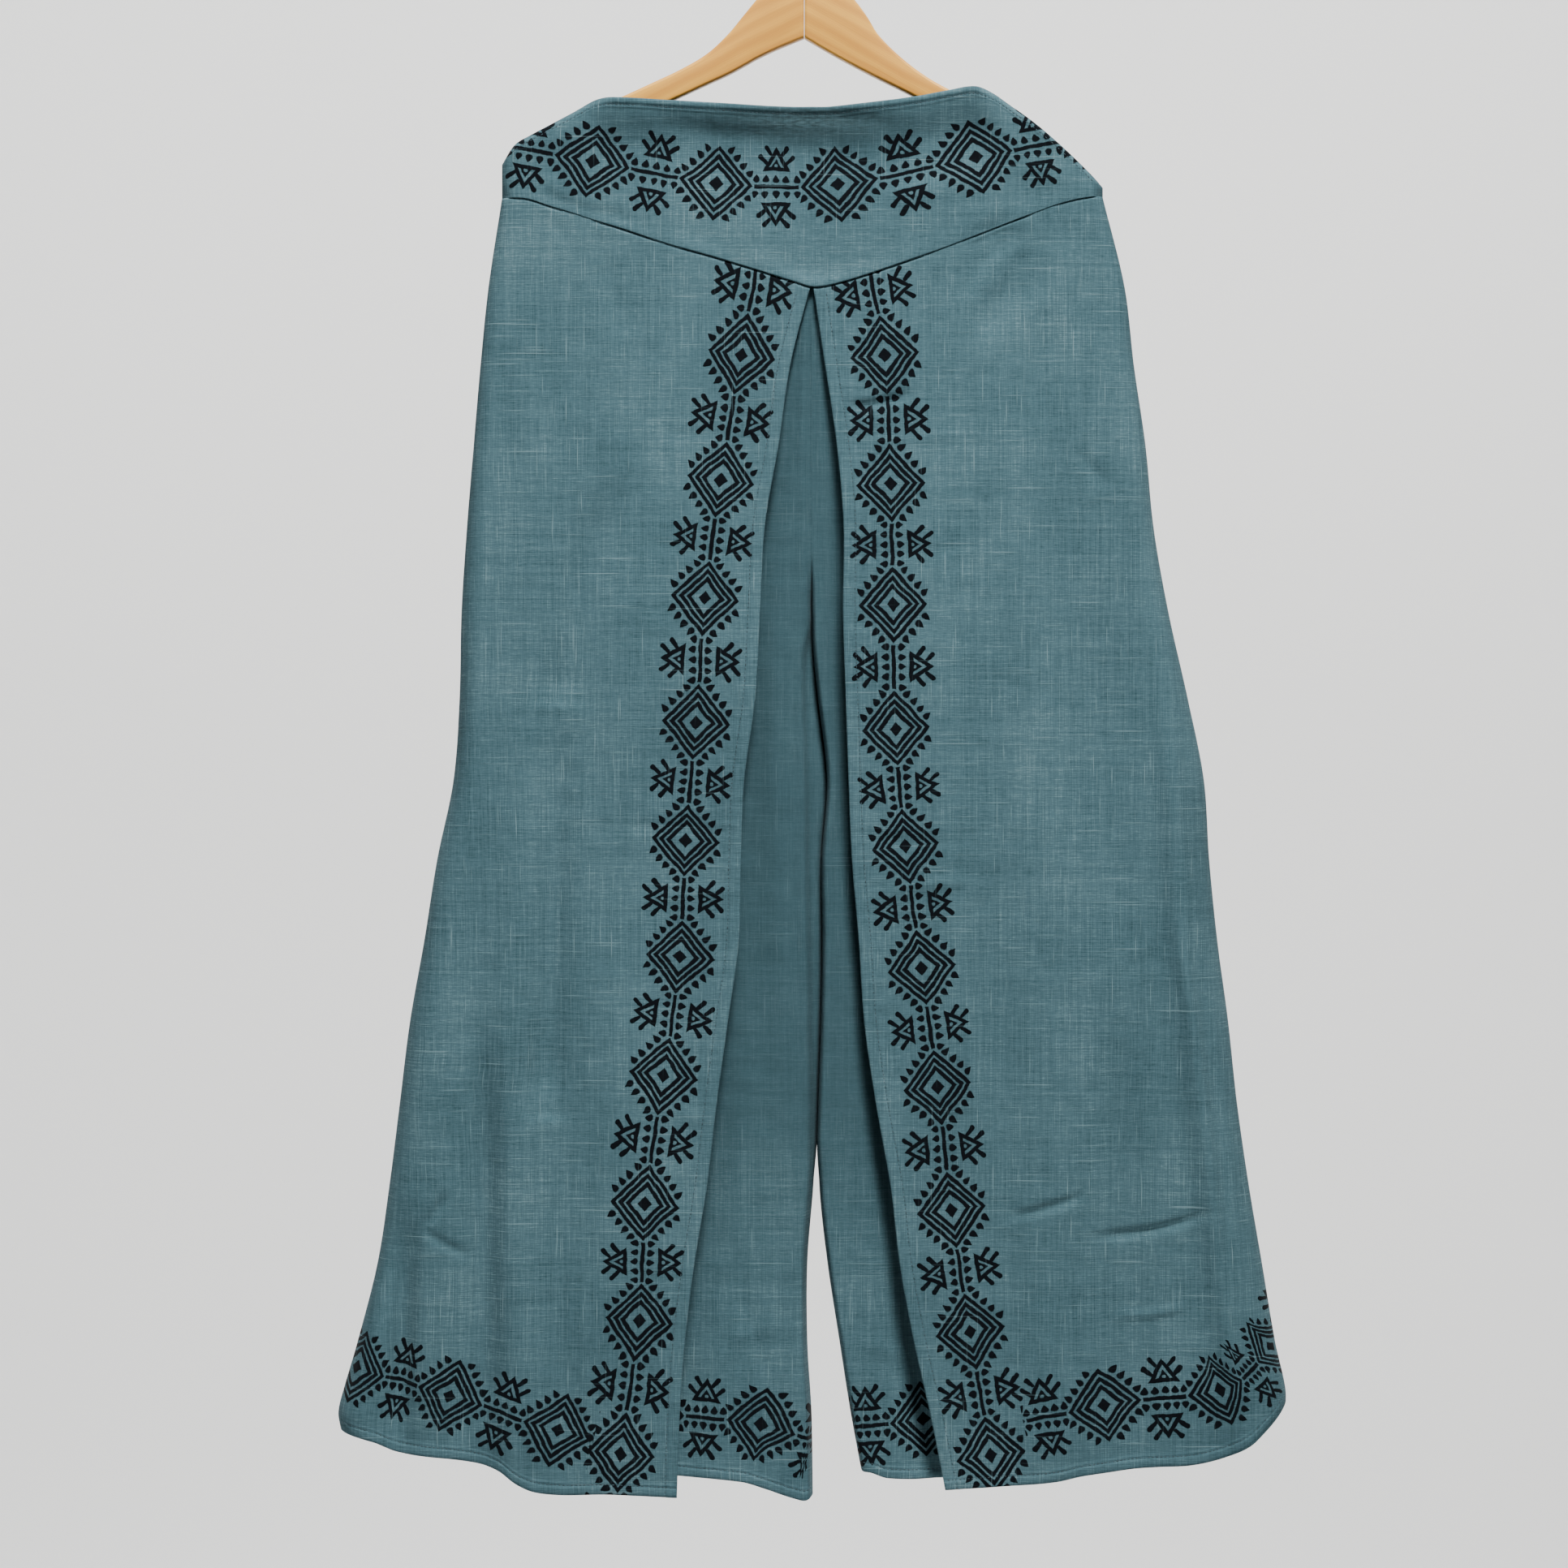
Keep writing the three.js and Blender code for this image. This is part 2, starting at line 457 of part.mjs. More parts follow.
// The yoke lies on the arms at both ends, where it turns down over them, and stands free between them.
// Its columns meet those of the pieces that hang from its seam.
function yokePiece(face) {
  const ends = [YOKE[0].x, YOKE.at(-1).x];
  const below = face === 'front' ? PANEL_COLUMNS : LEG_COLUMNS;
  const middle = { right: CENTRE_X, left: CENTRE_X };
  if (face === 'front') for (const hand of ['right', 'left']) middle[hand] = freeEdge[hand](CENTRE_TOP_Z);
  else for (const hand of ['right', 'left']) middle[hand] = inseam[hand](CENTRE_TOP_Z);
  const columns = [
    ...below.right.map((across) => lerp(ends[0], middle.right, across)),
    CENTRE_X,
    ...below.left.map((across) => lerp(middle.left, ends[1], across)),
  ];
  const onArms = (x) => 1 - fade(x, WAIST_ENDS.right - WAIST_ENDS.run, WAIST_ENDS.right + WAIST_ENDS.run)
    + fade(x, WAIST_ENDS.left - WAIST_ENDS.run, WAIST_ENDS.left + WAIST_ENDS.run);
  const drop = (x) => (face === 'back' ? BACK_WAIST_DROP * (1 - clamp(onArms(x), 0, 1)) : 0);
  const top = (x) => yokeTop(x) - drop(x);
  const low = face === 'front' ? yokeSeam : backYokeSeam;
  const flat = between(
    levelEdge(ends[0], ends[1], top),
    levelEdge(ends[0], ends[1], low),
    uprightEdge(top(ends[0]), low(ends[0]), () => ends[0]),
    uprightEdge(top(ends[1]), low(ends[1]), () => ends[1]),
  );
  const rollIn = sideRoll.right(SIDE_TOP_Z) + (face === 'front' ? LAYER : 0);
  const place = (across, down) => {
    const at = flat(across, down);
    const fromTop = yokeTop(at.x) - at.y;
    const over = lerp(1, roll(fromTop, SHOULDER_ROLL), clamp(onArms(at.x), 0, 1));
    const ended = roll(Math.min(at.x - ends[0], ends[1] - at.x), rollIn);
    const stand = (depth[face](at.y) + (face === 'front' ? LAYER * down : 0)) * over * ended;
    return face === 'front' ? frontPoint(at, stand) : backPoint(at, stand);
  };
  const acrosses = columns.map((x) => (x - ends[0]) / (ends[1] - ends[0]));
  const rows = [0, 0.03, 0.1, 0.3, 0.6, 1];
  return clothWall(acrosses, rows.length - 1, (a, b) => place(a, rows[Math.round(b * (rows.length - 1))]),
    face === 'front' ? -1 : 1);
}

function armPiece(table) {
  const outward = Math.sign(table.at(-1).x - table[0].x);
  const top = smooth(table, 'x', 'top');
  const bottom = smooth(table, 'x', 'bottom');
  const start = table[0].x + outward * SEAM_GAP / 2;
  const end = table.at(-1).x;
  const steps = 20;
  const shape = new THREE.Shape();
  shape.moveTo(start, bottom(start));
  for (let i = 1; i <= steps; i++) {
    const x = lerp(start, end, i / steps);
    shape.lineTo(x, bottom(x));
  }
  const middle = (top(end) + bottom(end)) / 2;
  const tip = end + outward * ARM_TIP;
  shape.quadraticCurveTo(tip, bottom(end), tip, middle);
  shape.quadraticCurveTo(tip, top(end), end, top(end));
  for (let i = steps - 1; i >= 0; i--) {
    const x = lerp(start, end, i / steps);
    shape.lineTo(x, top(x));
  }
  const arm = new THREE.ExtrudeGeometry(shape, {
    depth: WOOD_THICK - 2 * WOOD_BEVEL,
    bevelThickness: WOOD_BEVEL,
    bevelSize: WOOD_BEVEL,
    bevelOffset: -WOOD_BEVEL,
    bevelSegments: 1,
    curveSegments: 4,
  });
  arm.translate(0, 0, WOOD_BEVEL - WOOD_THICK / 2);
  arm.rotateX(Math.PI / 2);
  return arm;
}

// The hook: a stem out of the wood, a sideways sweep, and a round bend over the origin.
function hookPiece() {
  const centre = WIRE / 2 - HOOK_RADIUS;
  const points = [];
  for (const rise of STEM_RISE) points.push(new THREE.Vector3(JOINT_X, 0, WOOD_TOP + SEAM_GAP + rise));
  points.push(new THREE.Vector3(JOINT_X + STEM_SWEEP.x, 0, WOOD_TOP + STEM_SWEEP.rise));
  const turns = 16;
  for (let i = 0; i <= turns; i++) {
    const angle = THREE.MathUtils.degToRad(lerp(HOOK_BEND.from, HOOK_BEND.to, i / turns));
    const across = HOOK_RADIUS * Math.cos(angle);
    points.push(new THREE.Vector3(across, 0, centre + HOOK_RADIUS * Math.sin(angle)));
  }
  const section = new THREE.Shape();
  section.absarc(0, 0, WIRE / 2, 0, Math.PI * 2);
  const extrudePath = new THREE.CatmullRomCurve3(points);
  return new THREE.ExtrudeGeometry(section, { extrudePath, steps: 40, curveSegments: 5, bevelEnabled: false });
}

const cloth = () => new THREE.MeshStandardMaterial({ color: COLOURS.cloth, roughness: 0.9, metalness: 0 });
const wood = () => new THREE.MeshStandardMaterial({ color: COLOURS.wood, roughness: 0.55, metalness: 0 });
const steel = () => new THREE.MeshStandardMaterial({ color: COLOURS.steel, roughness: 0.3, metalness: 1 });

const trousers = new THREE.Group();
function add(name, geometry, material) {
  const mesh = new THREE.Mesh(geometry, material);
  mesh.name = name;
  trousers.add(mesh);
}

for (const face of ['front', 'back']) {
  add(`yoke_${face}`, yokePiece(face), cloth());
  for (const hand of ['right', 'left']) add(`leg_${face}_${hand}`, legPiece(hand, face), cloth());
}
for (const hand of ['right', 'left']) add(`overlay_${hand}`, panelPiece(hand), cloth());
add('hanger_arm_right', armPiece(ARM_RIGHT), wood());
add('hanger_arm_left', armPiece(ARM_LEFT), wood());
add('hanger_hook', hookPiece(), steel());

export default trousers;
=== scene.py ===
import math
import bmesh
import bpy
import numpy as np
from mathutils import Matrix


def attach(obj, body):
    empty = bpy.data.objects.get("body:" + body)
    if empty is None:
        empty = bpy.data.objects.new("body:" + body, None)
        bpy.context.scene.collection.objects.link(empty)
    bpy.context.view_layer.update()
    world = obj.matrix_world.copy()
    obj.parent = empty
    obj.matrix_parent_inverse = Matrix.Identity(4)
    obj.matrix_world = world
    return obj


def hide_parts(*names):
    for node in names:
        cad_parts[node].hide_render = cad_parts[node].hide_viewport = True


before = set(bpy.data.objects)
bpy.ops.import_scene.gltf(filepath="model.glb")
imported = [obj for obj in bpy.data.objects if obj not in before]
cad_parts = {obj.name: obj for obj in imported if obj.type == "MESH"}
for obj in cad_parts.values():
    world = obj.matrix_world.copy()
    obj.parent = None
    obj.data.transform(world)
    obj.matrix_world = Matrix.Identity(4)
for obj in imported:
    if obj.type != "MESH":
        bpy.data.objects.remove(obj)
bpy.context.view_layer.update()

# Legs. Four pieces of slub-woven cotton, two in front and two behind, cut wide and straight. They are
# sewn at the inseams, the sides and the centre, and an 8.5 mm hem is turned up and stitched below.
# Sizes are in millimetres here and in every section, and become metres as a mesh is made.
MM = 0.001
CLOTH = 0.9
SEAM_GAP = 0.35
LAYER = 2.2
UNDER_FOLD = 0.6
HEM_TUCK = {"by": 2.5, "low": 950, "high": 1100}
CENTRE_X = 1.0
CENTRE_TOP_Z = -290.0
SIDE_TOP_Z = -230.0
CROTCH_Z = -532.0
SEAT_DIP = {"front": 45.0, "back": 110.0}
INSEAM_ROLL = {"right": 4.5, "left": 3.5}
BACK_SEAM_LEVEL = 0.375
INNER_HEM_X = {"right": 2.0, "left": 38.0}
LEG_HEM = 8.5
TOUCH = {"end": 915, "gone": 950, "overlap": 0.35}
ASIDE = {"by": 2.6, "from": 500, "to": 560, "reach": 16}
TURNS = {"right": 1.0, "left": -1.0}
FACINGS = {"front": -1.0, "back": 1.0}


def table(columns, *rows):
    """A short table whose columns are read by their names."""
    numbers = np.array(rows, float)
    return {name: numbers[:, place] for place, name in enumerate(columns.split())}


FOLD = "z0 z1 top mid end wide rise"
CREASE = "x0 z0 x1 z1 bow wide rise"
SIDES = table(
    "z right left roll_right roll_left",
    (-230, -225, 213.5, 9, 9),
    (-295, -235, 229.5, 10, 11),
    (-353, -241, 236.5, 11, 13),
    (-411, -246, 245, 12, 15),
    (-471, -251, 251, 13, 17),
    (-533, -255, 262, 14, 20),
    (-595, -256.5, 276, 15, 25),
    (-655, -261, 288, 16, 29),
    (-713, -273, 292, 17, 31),
    (-772, -282.5, 298, 18, 31),
    (-831, -293, 306, 19, 31),
    (-890, -300.5, 312.5, 20, 30),
    (-949, -308, 321, 20, 28),
    (-1008, -317, 331, 20, 26),
    (-1067, -332, 341, 20, 24),
    (-1101, -342, 348.5, 20, 23),
    (-1118, -346, 348, 20, 22),
    (-1132, -344, 345, 20, 22),
)
INSEAMS = table(
    "z right left crease",
    (-290, 0.825, 1.175, 1),
    (-515, 0.825, 1.175, 1),
    (-532, 0.825, 1.35, 1),
    (-560, 0.5, 3.8, -6),
    (-595, 4.5, 6.8, -7),
    (-655, 11, 13.5, -5),
    (-713, 7, 9.5, -4.5),
    (-772, 7.5, 10, -3),
    (-831, 6.5, 9, -2.5),
    (-890, 4.5, 7, -2),
    (-949, 2.5, 6.5, -3.5),
    (-1008, -2, 12.5, -7),
    (-1067, -2, 21.5, -7),
    (-1118, 1, 29.5, -4),
    (-1180, 2, 41, -2),
)
DEPTHS = table(
    "z front back",
    (-150, 8.6, 9.4),
    (-240, 10, 10.8),
    (-300, 11, 11.5),
    (-420, 13, 14),
    (-532, 15.5, 15.5),
    (-700, 18, 17),
    (-900, 19.5, 18),
    (-1180, 21, 19),
)
YOKE = table(
    "x top seam",
    (-225, -206, -231),
    (-216, -192, -230.5),
    (-205, -185, -231.5),
    (-190, -177, -236.5),
    (-175, -169, -241),
    (-157, -159.7, -247),
    (-142, -158.5, -251.5),
    (-104, -160.5, -264),
    (-69, -162.5, -274),
    (-39, -164.5, -283),
    (-11, -165.5, -292),
    (1, -165.5, -295.5),
    (13, -165.5, -294.5),
    (36, -163, -288),
    (76, -158, -274.5),
    (100, -153.5, -266),
    (119, -150.5, -258.5),
    (133, -154.5, -253),
    (147, -163.5, -247.5),
    (163, -175, -241.5),
    (179, -188.5, -235.5),
    (194, -202.5, -231.5),
    (207, -215.5, -229.5),
    (213.5, -223, -229.5),
)
LEG_HEMS = table(
    "x front back",
    (-344, -1122, -1128),
    (-310, -1131, -1138),
    (-256, -1142, -1147),
    (-201, -1155, -1160),
    (-145, -1160, -1164),
    (-95, -1163, -1166.5),
    (-50, -1167, -1165.5),
    (-34, -1171.5, -1169),
    (-13, -1178.5, -1175),
    (-2, -1180, -1177),
    (38, -1160, -1158),
    (57, -1164.5, -1162),
    (99, -1164.5, -1163),
    (178, -1158, -1160),
    (223, -1151, -1153.5),
    (276, -1144, -1148),
    (318, -1129, -1134),
    (340, -1107, -1113),
    (346.5, -1100, -1107),
)
# The folds run down from z0 to z1 through three places across and stand out by rise.
FRONT_FOLDS = table(
    FOLD,
    (-560, -1190, -206, -211, -212, 19, 7),
    (-420, -600, -136, -165, -183, 16, -4),
    (-540, -900, -184, -188, -193, 14, -6),
    (-740, -1190, -262, -267, -268, 20, 4),
    (-820, -1190, -236, -236, -238, 12, -5),
    (-950, -1160, -297, -298, -300, 13, -5),
    (-700, -1200, -140, -138, -134, 34, 4),
    (-480, -1160, 254, 275, 318, 10, 6),
    (-600, -1190, 188, 184, 180, 36, 4),
    (-700, -1190, 132, 140, 146, 20, -4),
    (-800, -1180, 222, 230, 238, 16, -5),
)
# Under the free edges of the outer panels the legs' own fronts fall back, and stay in shade.
LEG_SINK = table(
    FOLD,
    (-130, -1190, -14, -62, -104, 24, -9),
    (-250, -1190, 22, 38, 96, 13, -8),
)
BACK_FOLDS = table(
    FOLD,
    (-330, -620, -90, -120, -150, 20, -4),
    (-520, -1190, -205, -214, -220, 22, 6),
    (-640, -1190, -160, -166, -170, 17, -6),
    (-760, -1190, -262, -270, -280, 16, -5),
    (-700, -1200, -84, -82, -80, 26, 5),
    (-320, -560, 100, 128, 150, 20, -4),
    (-560, -1190, 206, 216, 226, 22, 6),
    (-620, -1190, 150, 160, 172, 18, -6),
    (-760, -1180, 262, 274, 292, 15, -5),
    (-700, -1200, 92, 100, 108, 26, 5),
)
# Creases are small and soft: each runs from one place to another, bowed by bow, with its own rise.
LEG_CREASES = table(
    CREASE,
    (-1, -292, -1, -540, 0, 1.6, -1.3),
    (-5, -300, -6, -500, 0, 3.0, 0.9),
    (3.5, -292, 3.5, -540, 0, 1.6, -1.3),
    (-8, -560, -3, -930, 0, 1.8, 1.3),
    (-26, -470, -14, -900, 4, 9, 1.2),
    (-44, -560, -36, -1000, -3, 12, -1.4),
    (-52, -1010, -30, -1090, 3, 7, -1.0),
    (-60, -1062, -24, -1048, 2, 6, 0.8),
    (24, -690, 36, -960, 3, 8, 1.3),
    (48, -900, 66, -1120, -2, 9, -1.3),
    (40, -1064, 84, -1074, 3, 6, 0.8),
)
BACK_CREASES = table(
    CREASE,
    (-150, -290, -96, -330, 3, 9, -1.4),
    (-60, -520, -24, -600, 4, 8, -1.5),
    (62, -514, 22, -604, -4, 8, -1.5),
    (120, -282, 160, -318, -3, 9, -1.3),
    (-240, -700, -190, -716, 3, 6, 0.9),
    (196, -860, 252, -842, 3, 6, 0.9),
    (-130, -1010, -74, -1024, 2, 5, -0.8),
    (84, -1052, 134, -1040, -2, 5, -0.8),
)


def smooth(rows, key, column):
    """A smooth curve through one column of a table, read at any value of its key column."""
    order = np.argsort(rows[key])
    at = rows[key][order]
    value = rows[column][order]
    last = len(at) - 1
    after = np.minimum(np.arange(len(at)) + 1, last)
    before = np.maximum(np.arange(len(at)) - 1, 0)
    slope = (value[after] - value[before]) / (at[after] - at[before])

    def read(where):
        where = np.clip(where, at[0], at[-1])
        i = np.clip(np.searchsorted(at, where) - 1, 0, last - 1)
        span = at[i + 1] - at[i]
        t = (where - at[i]) / span
        rise = value[i + 1] - value[i]
        bend = slope[i] * span * (1 - t) - slope[i + 1] * span * t + rise * (2 * t - 1)
        return value[i] + rise * t + bend * t * (1 - t)

    return read


side = {hand: smooth(SIDES, "z", hand) for hand in TURNS}
side_roll = {hand: smooth(SIDES, "z", f"roll_{hand}") for hand in TURNS}
cut_inseam = {hand: smooth(INSEAMS, "z", hand) for hand in TURNS}
inner_crease = smooth(INSEAMS, "z", "crease")
depth = {face: smooth(DEPTHS, "z", face) for face in FACINGS}
yoke_top = smooth(YOKE, "x", "top")
yoke_seam = smooth(YOKE, "x", "seam")
leg_hem = {face: smooth(LEG_HEMS, "x", face) for face in FACINGS}


def lerp(start, end, share):
    return start + (end - start) * share


def fade(value, low, high):
    """0 below low, 1 above high, and an easy slope between them."""
    t = np.clip((value - low) / (high - low), 0, 1)
    return t * t * (3 - 2 * t)


def bump_of(distance, width):
    """1 in the middle of a soft round bump, and almost 0 at twice its width."""
    return np.exp(-((distance / width) ** 2))


def roll(distance, width):
    """0 at a seam that closes a tube, rising as a round fold to 1 on the flat of the cloth."""
    return np.sqrt(1 - (1 - np.clip(distance / width, 0, 1)) ** 2)


def touching(z):
    """1 where the inner edges of the two legs meet, sewn above the crotch and hanging close below it."""
    return 1 - fade(-z, TOUCH["end"], TOUCH["gone"])


def inseam(hand, z):
    middle = (cut_inseam["right"](z) + cut_inseam["left"](z)) / 2
    return lerp(cut_inseam[hand](z), middle + TURNS[hand] * TOUCH["overlap"] / 2, touching(z))


FOLD_FADE = {"in": 0.35, "out": 0.9, "lost": 0.6}
CREASE_STARTS = (-0.12, 0.25)
CREASE_STOPS = (0.7, 1.12)


def folds_at(folds, x, z):
    rise = np.zeros_like(x)
    for k in range(len(folds["z0"])):
        t = (folds["z0"][k] - z) / (folds["z0"][k] - folds["z1"][k])
        bend = 4 * (folds["mid"][k] - (folds["top"][k] + folds["end"][k]) / 2)
        centre = lerp(folds["top"][k], folds["end"][k], t) + bend * t * (1 - t)
        ending = 1 - FOLD_FADE["lost"] * fade(t, FOLD_FADE["out"], 1)
        strength = fade(t, 0, FOLD_FADE["in"]) * ending * ((t > 0) & (t < 1))
        rise += folds["rise"][k] * strength * bump_of(x - centre, folds["wide"][k])
    return rise


def creases_at(creases, x, z):
    rise = np.zeros_like(x)
    for k in range(len(creases["x0"])):
        along_x = creases["x1"][k] - creases["x0"][k]
        along_z = creases["z1"][k] - creases["z0"][k]
        length = math.hypot(along_x, along_z)
        from_x = x - creases["x0"][k]
        from_z = z - creases["z0"][k]
        t = (from_x * along_x + from_z * along_z) / length**2
        off = (from_x * along_z - from_z * along_x) / length - 4 * creases["bow"][k] * t * (1 - t)
        ends = fade(t, *CREASE_STARTS) * (1 - fade(t, *CREASE_STOPS))
        rise += creases["rise"][k] * ends * bump_of(off, creases["wide"][k])
    return rise


FULL_TURN = 6.3
LONG_WAVES = {"count": 16, "across": (0.035, 0.11), "down": (-0.022, 0.022), "rise": (0.05, 0.2)}
CROSS_WAVES = {"count": 8, "across": (-0.25, 0.25), "down": (0.12, 0.35), "rise": 0.035}
PUCKERS = {"count": 6, "rise": (0.03, 0.09), "along": (0.35, 1.1)}


def rumple(x, z, seed, tall=1.0):
    """The slight unevenness of cotton that has hung folded, longer down the cloth than across it."""
    pick = np.random.default_rng(seed)
    rise = np.zeros_like(x)
    for _ in range(LONG_WAVES["count"]):
        across = pick.uniform(*LONG_WAVES["across"])
        down = pick.uniform(*LONG_WAVES["down"])
        tallness = pick.uniform(*LONG_WAVES["rise"])
        rise += tallness * np.sin(across * x + down * z + pick.uniform(0, FULL_TURN))
    for _ in range(CROSS_WAVES["count"]):
        across = pick.uniform(*CROSS_WAVES["across"])
        down = pick.uniform(*CROSS_WAVES["down"])
        rise += CROSS_WAVES["rise"] * np.sin(across * x + down * z + pick.uniform(0, FULL_TURN))
    return tall * rise


def pucker(along, distance, reach, seed):
    """Tiny waves beside a row of stitches or a seam."""
    pick = np.random.default_rng(seed)
    wave = np.zeros_like(along)
    for _ in range(PUCKERS["count"]):
        rise = pick.uniform(*PUCKERS["rise"])
        wave += rise * np.sin(pick.uniform(*PUCKERS["along"]) * along + pick.uniform(0, FULL_TURN))
    return wave * bump_of(distance, reach)


STITCH_INSET = 1.2
DOUBLED = {"by": 0.9, "before": 0.6, "past": 1.4}
DRAWN_IN = {"by": 0.9, "wide": 1.1}
EDGE_ROUND = {"by": 0.6, "wide": 1.6}


def hem_relief(distance, width):
    """A turned hem is double cloth: a little proud, drawn in at its stitches and rounded at its edge."""
    single = fade(distance, width - DOUBLED["before"], width + DOUBLED["past"])
    drawn = DRAWN_IN["by"] * bump_of(distance - width + STITCH_INSET, DRAWN_IN["wide"])
    rounded = EDGE_ROUND["by"] * (1 - fade(distance, 0, EDGE_ROUND["wide"]))
    return DOUBLED["by"] * (1 - single) - drawn - rounded


def between(top, bottom, start, end):
    """Points between four edge curves: across the piece from -X to +X, and down it."""

    def flat(across, down):
        a = across[..., None]
        d = down[..., None]
        zero = np.zeros_like(across)
        one = np.ones_like(across)
        point = top(across) * (1 - d) + bottom(across) * d
        point = point + start(down) * (1 - a) + end(down) * a
        point = point - top(zero) * (1 - a) * (1 - d) - top(one) * a * (1 - d)
        return point - bottom(zero) * (1 - a) * d - bottom(one) * a * d

    return flat


def level_edge(start, end, height):
    def edge(across):
        x = lerp(start, end, across)
        return np.stack([x, height(x)], -1)

    return edge


def upright_edge(start, end, place):
    def edge(down):
        z = lerp(start, end, down)
        return np.stack([place(z), z], -1)

    return edge


EDGE_STEPS = {
    "hem": np.arange(0, 14, 0.9),
    "seam": np.arange(0, 7, 0.9),
    "turned": 26 * (1 - np.cos(np.linspace(0, math.pi / 2, 14))),
}
COARSE_STEP = 2.8
BACK_STEP = 3.7


def stations(length, start, end, step=COARSE_STEP):
    """Fractions across a piece, closer together by its edges."""
    first = EDGE_STEPS[start]
    last = length - EDGE_STEPS[end][::-1]
    count = int((last[0] - first[-1]) / step)
    middle = np.linspace(first[-1], last[0], count + 1)[1:-1]
    return np.concatenate([first, middle, last]) / length


def run_along(line, face, start_x):
    """Length along a line drawn on the cloth, from the place where it passes start_x."""
    steps = np.diff(np.column_stack([line, face(line[:, 0], line[:, 1])]), axis=0)
    run = np.concatenate([[0], np.cumsum(np.linalg.norm(steps, axis=1))])
    return run - run[np.abs(line[:, 0] - start_x).argmin()]


LINE_POINTS = 900
PLACES_AT_ONCE = 4000


def print_line(diamonds, x, z, block):
    """The line through the printed diamonds of a band, and the run along it, a repeat for each diamond."""
    number = np.linspace(diamonds["number"][0], diamonds["number"][-1], LINE_POINTS)
    line = np.column_stack([smooth(diamonds, "number", x)(number), smooth(diamonds, "number", z)(number)])
    return line, number * block["Repeat"]


def along_line(line, run, turn, x, z):
    """How far each place is along a line drawn on the cloth, and how far to its side."""
    flat_run = np.linalg.norm(np.gradient(line, axis=0), axis=1)
    tangent = np.gradient(line, axis=0) / flat_run[:, None]
    stretch = np.gradient(run) / flat_run
    place = np.column_stack([x.ravel(), z.ravel()])
    nearest = np.empty(len(place), int)
    for start in range(0, len(place), PLACES_AT_ONCE):
        part = place[start : start + PLACES_AT_ONCE]
        gaps = (part[:, None, 0] - line[None, :, 0]) ** 2 + (part[:, None, 1] - line[None, :, 1]) ** 2
        nearest[start : start + PLACES_AT_ONCE] = gaps.argmin(1)
    off = place - line[nearest]
    ahead = (off * tangent[nearest]).sum(1)
    aside = off[:, 0] * tangent[nearest, 1] - off[:, 1] * tangent[nearest, 0]
    along = run[nearest] + ahead * stretch[nearest]
    return np.stack([along.reshape(x.shape), turn * aside.reshape(x.shape)], -1)


def add_object(name, data):
    obj = bpy.data.objects.new(name, data)
    bpy.context.scene.collection.objects.link(obj)
    return obj


def make_mesh(name, points, faces, maps, outside):
    """A mesh in metres from points in millimetres, with its maps given for each point."""
    mesh = bpy.data.meshes.new(name)
    mesh.from_pydata(points * MM, [], faces)
    corner = np.empty(len(mesh.loops), int)
    mesh.loops.foreach_get("vertex_index", corner)
    for label, values in maps.items():
        layer = mesh.uv_layers.new(name=label)
        layer.uv.foreach_set("vector", values[corner].ravel().astype(np.float32))
    side_of = mesh.attributes.new("Outside", "FLOAT", "POINT")
    side_of.data.foreach_set("value", outside.astype(np.float32))
    mesh.shade_smooth()
    return add_object(name, mesh)


def cloth_shell(name, flat, face, facing, columns, rows, bands, seams_plane=None):
    """A closed cloth wall: its outer points, the same points moved in by the cloth, and a rim."""
    across, down = np.meshgrid(columns, rows)
    place = flat(across, down)
    x = place[..., 0]
    z = place[..., 1]
    plane = seams_plane(x, z) if seams_plane else np.zeros_like(x)
    y = plane + facing * np.maximum(face(x, z), SEAM_GAP / 2)
    outer = np.stack([x, y, z], -1)
    normal = np.cross(np.gradient(outer, axis=0), np.gradient(outer, axis=1))
    normal *= facing * np.sign(normal[..., 1:2].sum()) / np.linalg.norm(normal, axis=-1)[..., None]
    inner = outer - normal * CLOTH
    inner[..., 1] = plane + facing * np.maximum(facing * (inner[..., 1] - plane), SEAM_GAP / 2)
    high, wide = x.shape
    total = high * wide
    index = np.arange(total).reshape(high, wide)
    a = index[:-1, :-1].ravel()
    b = index[:-1, 1:].ravel()
    c = index[1:, 1:].ravel()
    d = index[1:, :-1].ravel()
    ring = np.concatenate([index[0], index[1:, -1], index[-1, -2::-1], index[-2:0:-1, 0]])
    ahead = np.roll(ring, -1)
    outer_faces = np.stack([a, d, c, b], -1)
    inner_faces = np.stack([a, b, c, d], -1) + total
    rim = np.stack([ring, ahead, ahead + total, ring + total], -1)
    faces = np.concatenate([outer_faces, inner_faces, rim])
    if facing > 0:
        faces = faces[:, ::-1]
    step_x = np.diff(x, axis=1, prepend=x[:, :1])
    step_y = np.diff(y, axis=1, prepend=y[:, :1])
    grain = np.cumsum(np.hypot(step_x, step_y), axis=1)
    middle = wide // 2
    grain += (x[:, middle] - grain[:, middle])[:, None]
    maps = {"Weave": np.stack([grain, z], -1)}
    for label, (line, run, turn) in bands.items():
        maps[label] = along_line(line, run, turn, x, z)
    maps = {label: np.tile(values.reshape(-1, 2), (2, 1)) for label, values in maps.items()}
    points = np.concatenate([outer.reshape(-1, 3), inner.reshape(-1, 3)])
    outside = np.repeat([1.0, 0.0], total)
    piece = make_mesh(name, points, faces, maps, outside)
    add_bake_map(piece.data, across, down, faces, len(ring))
    return piece


BAKE_EDGES = {"outer": (0.01, 0.475), "inner": (0.525, 0.99), "rim": (0.49, 0.505)}
BAKE_TOP = 0.99
BAKE_LOW = 0.01


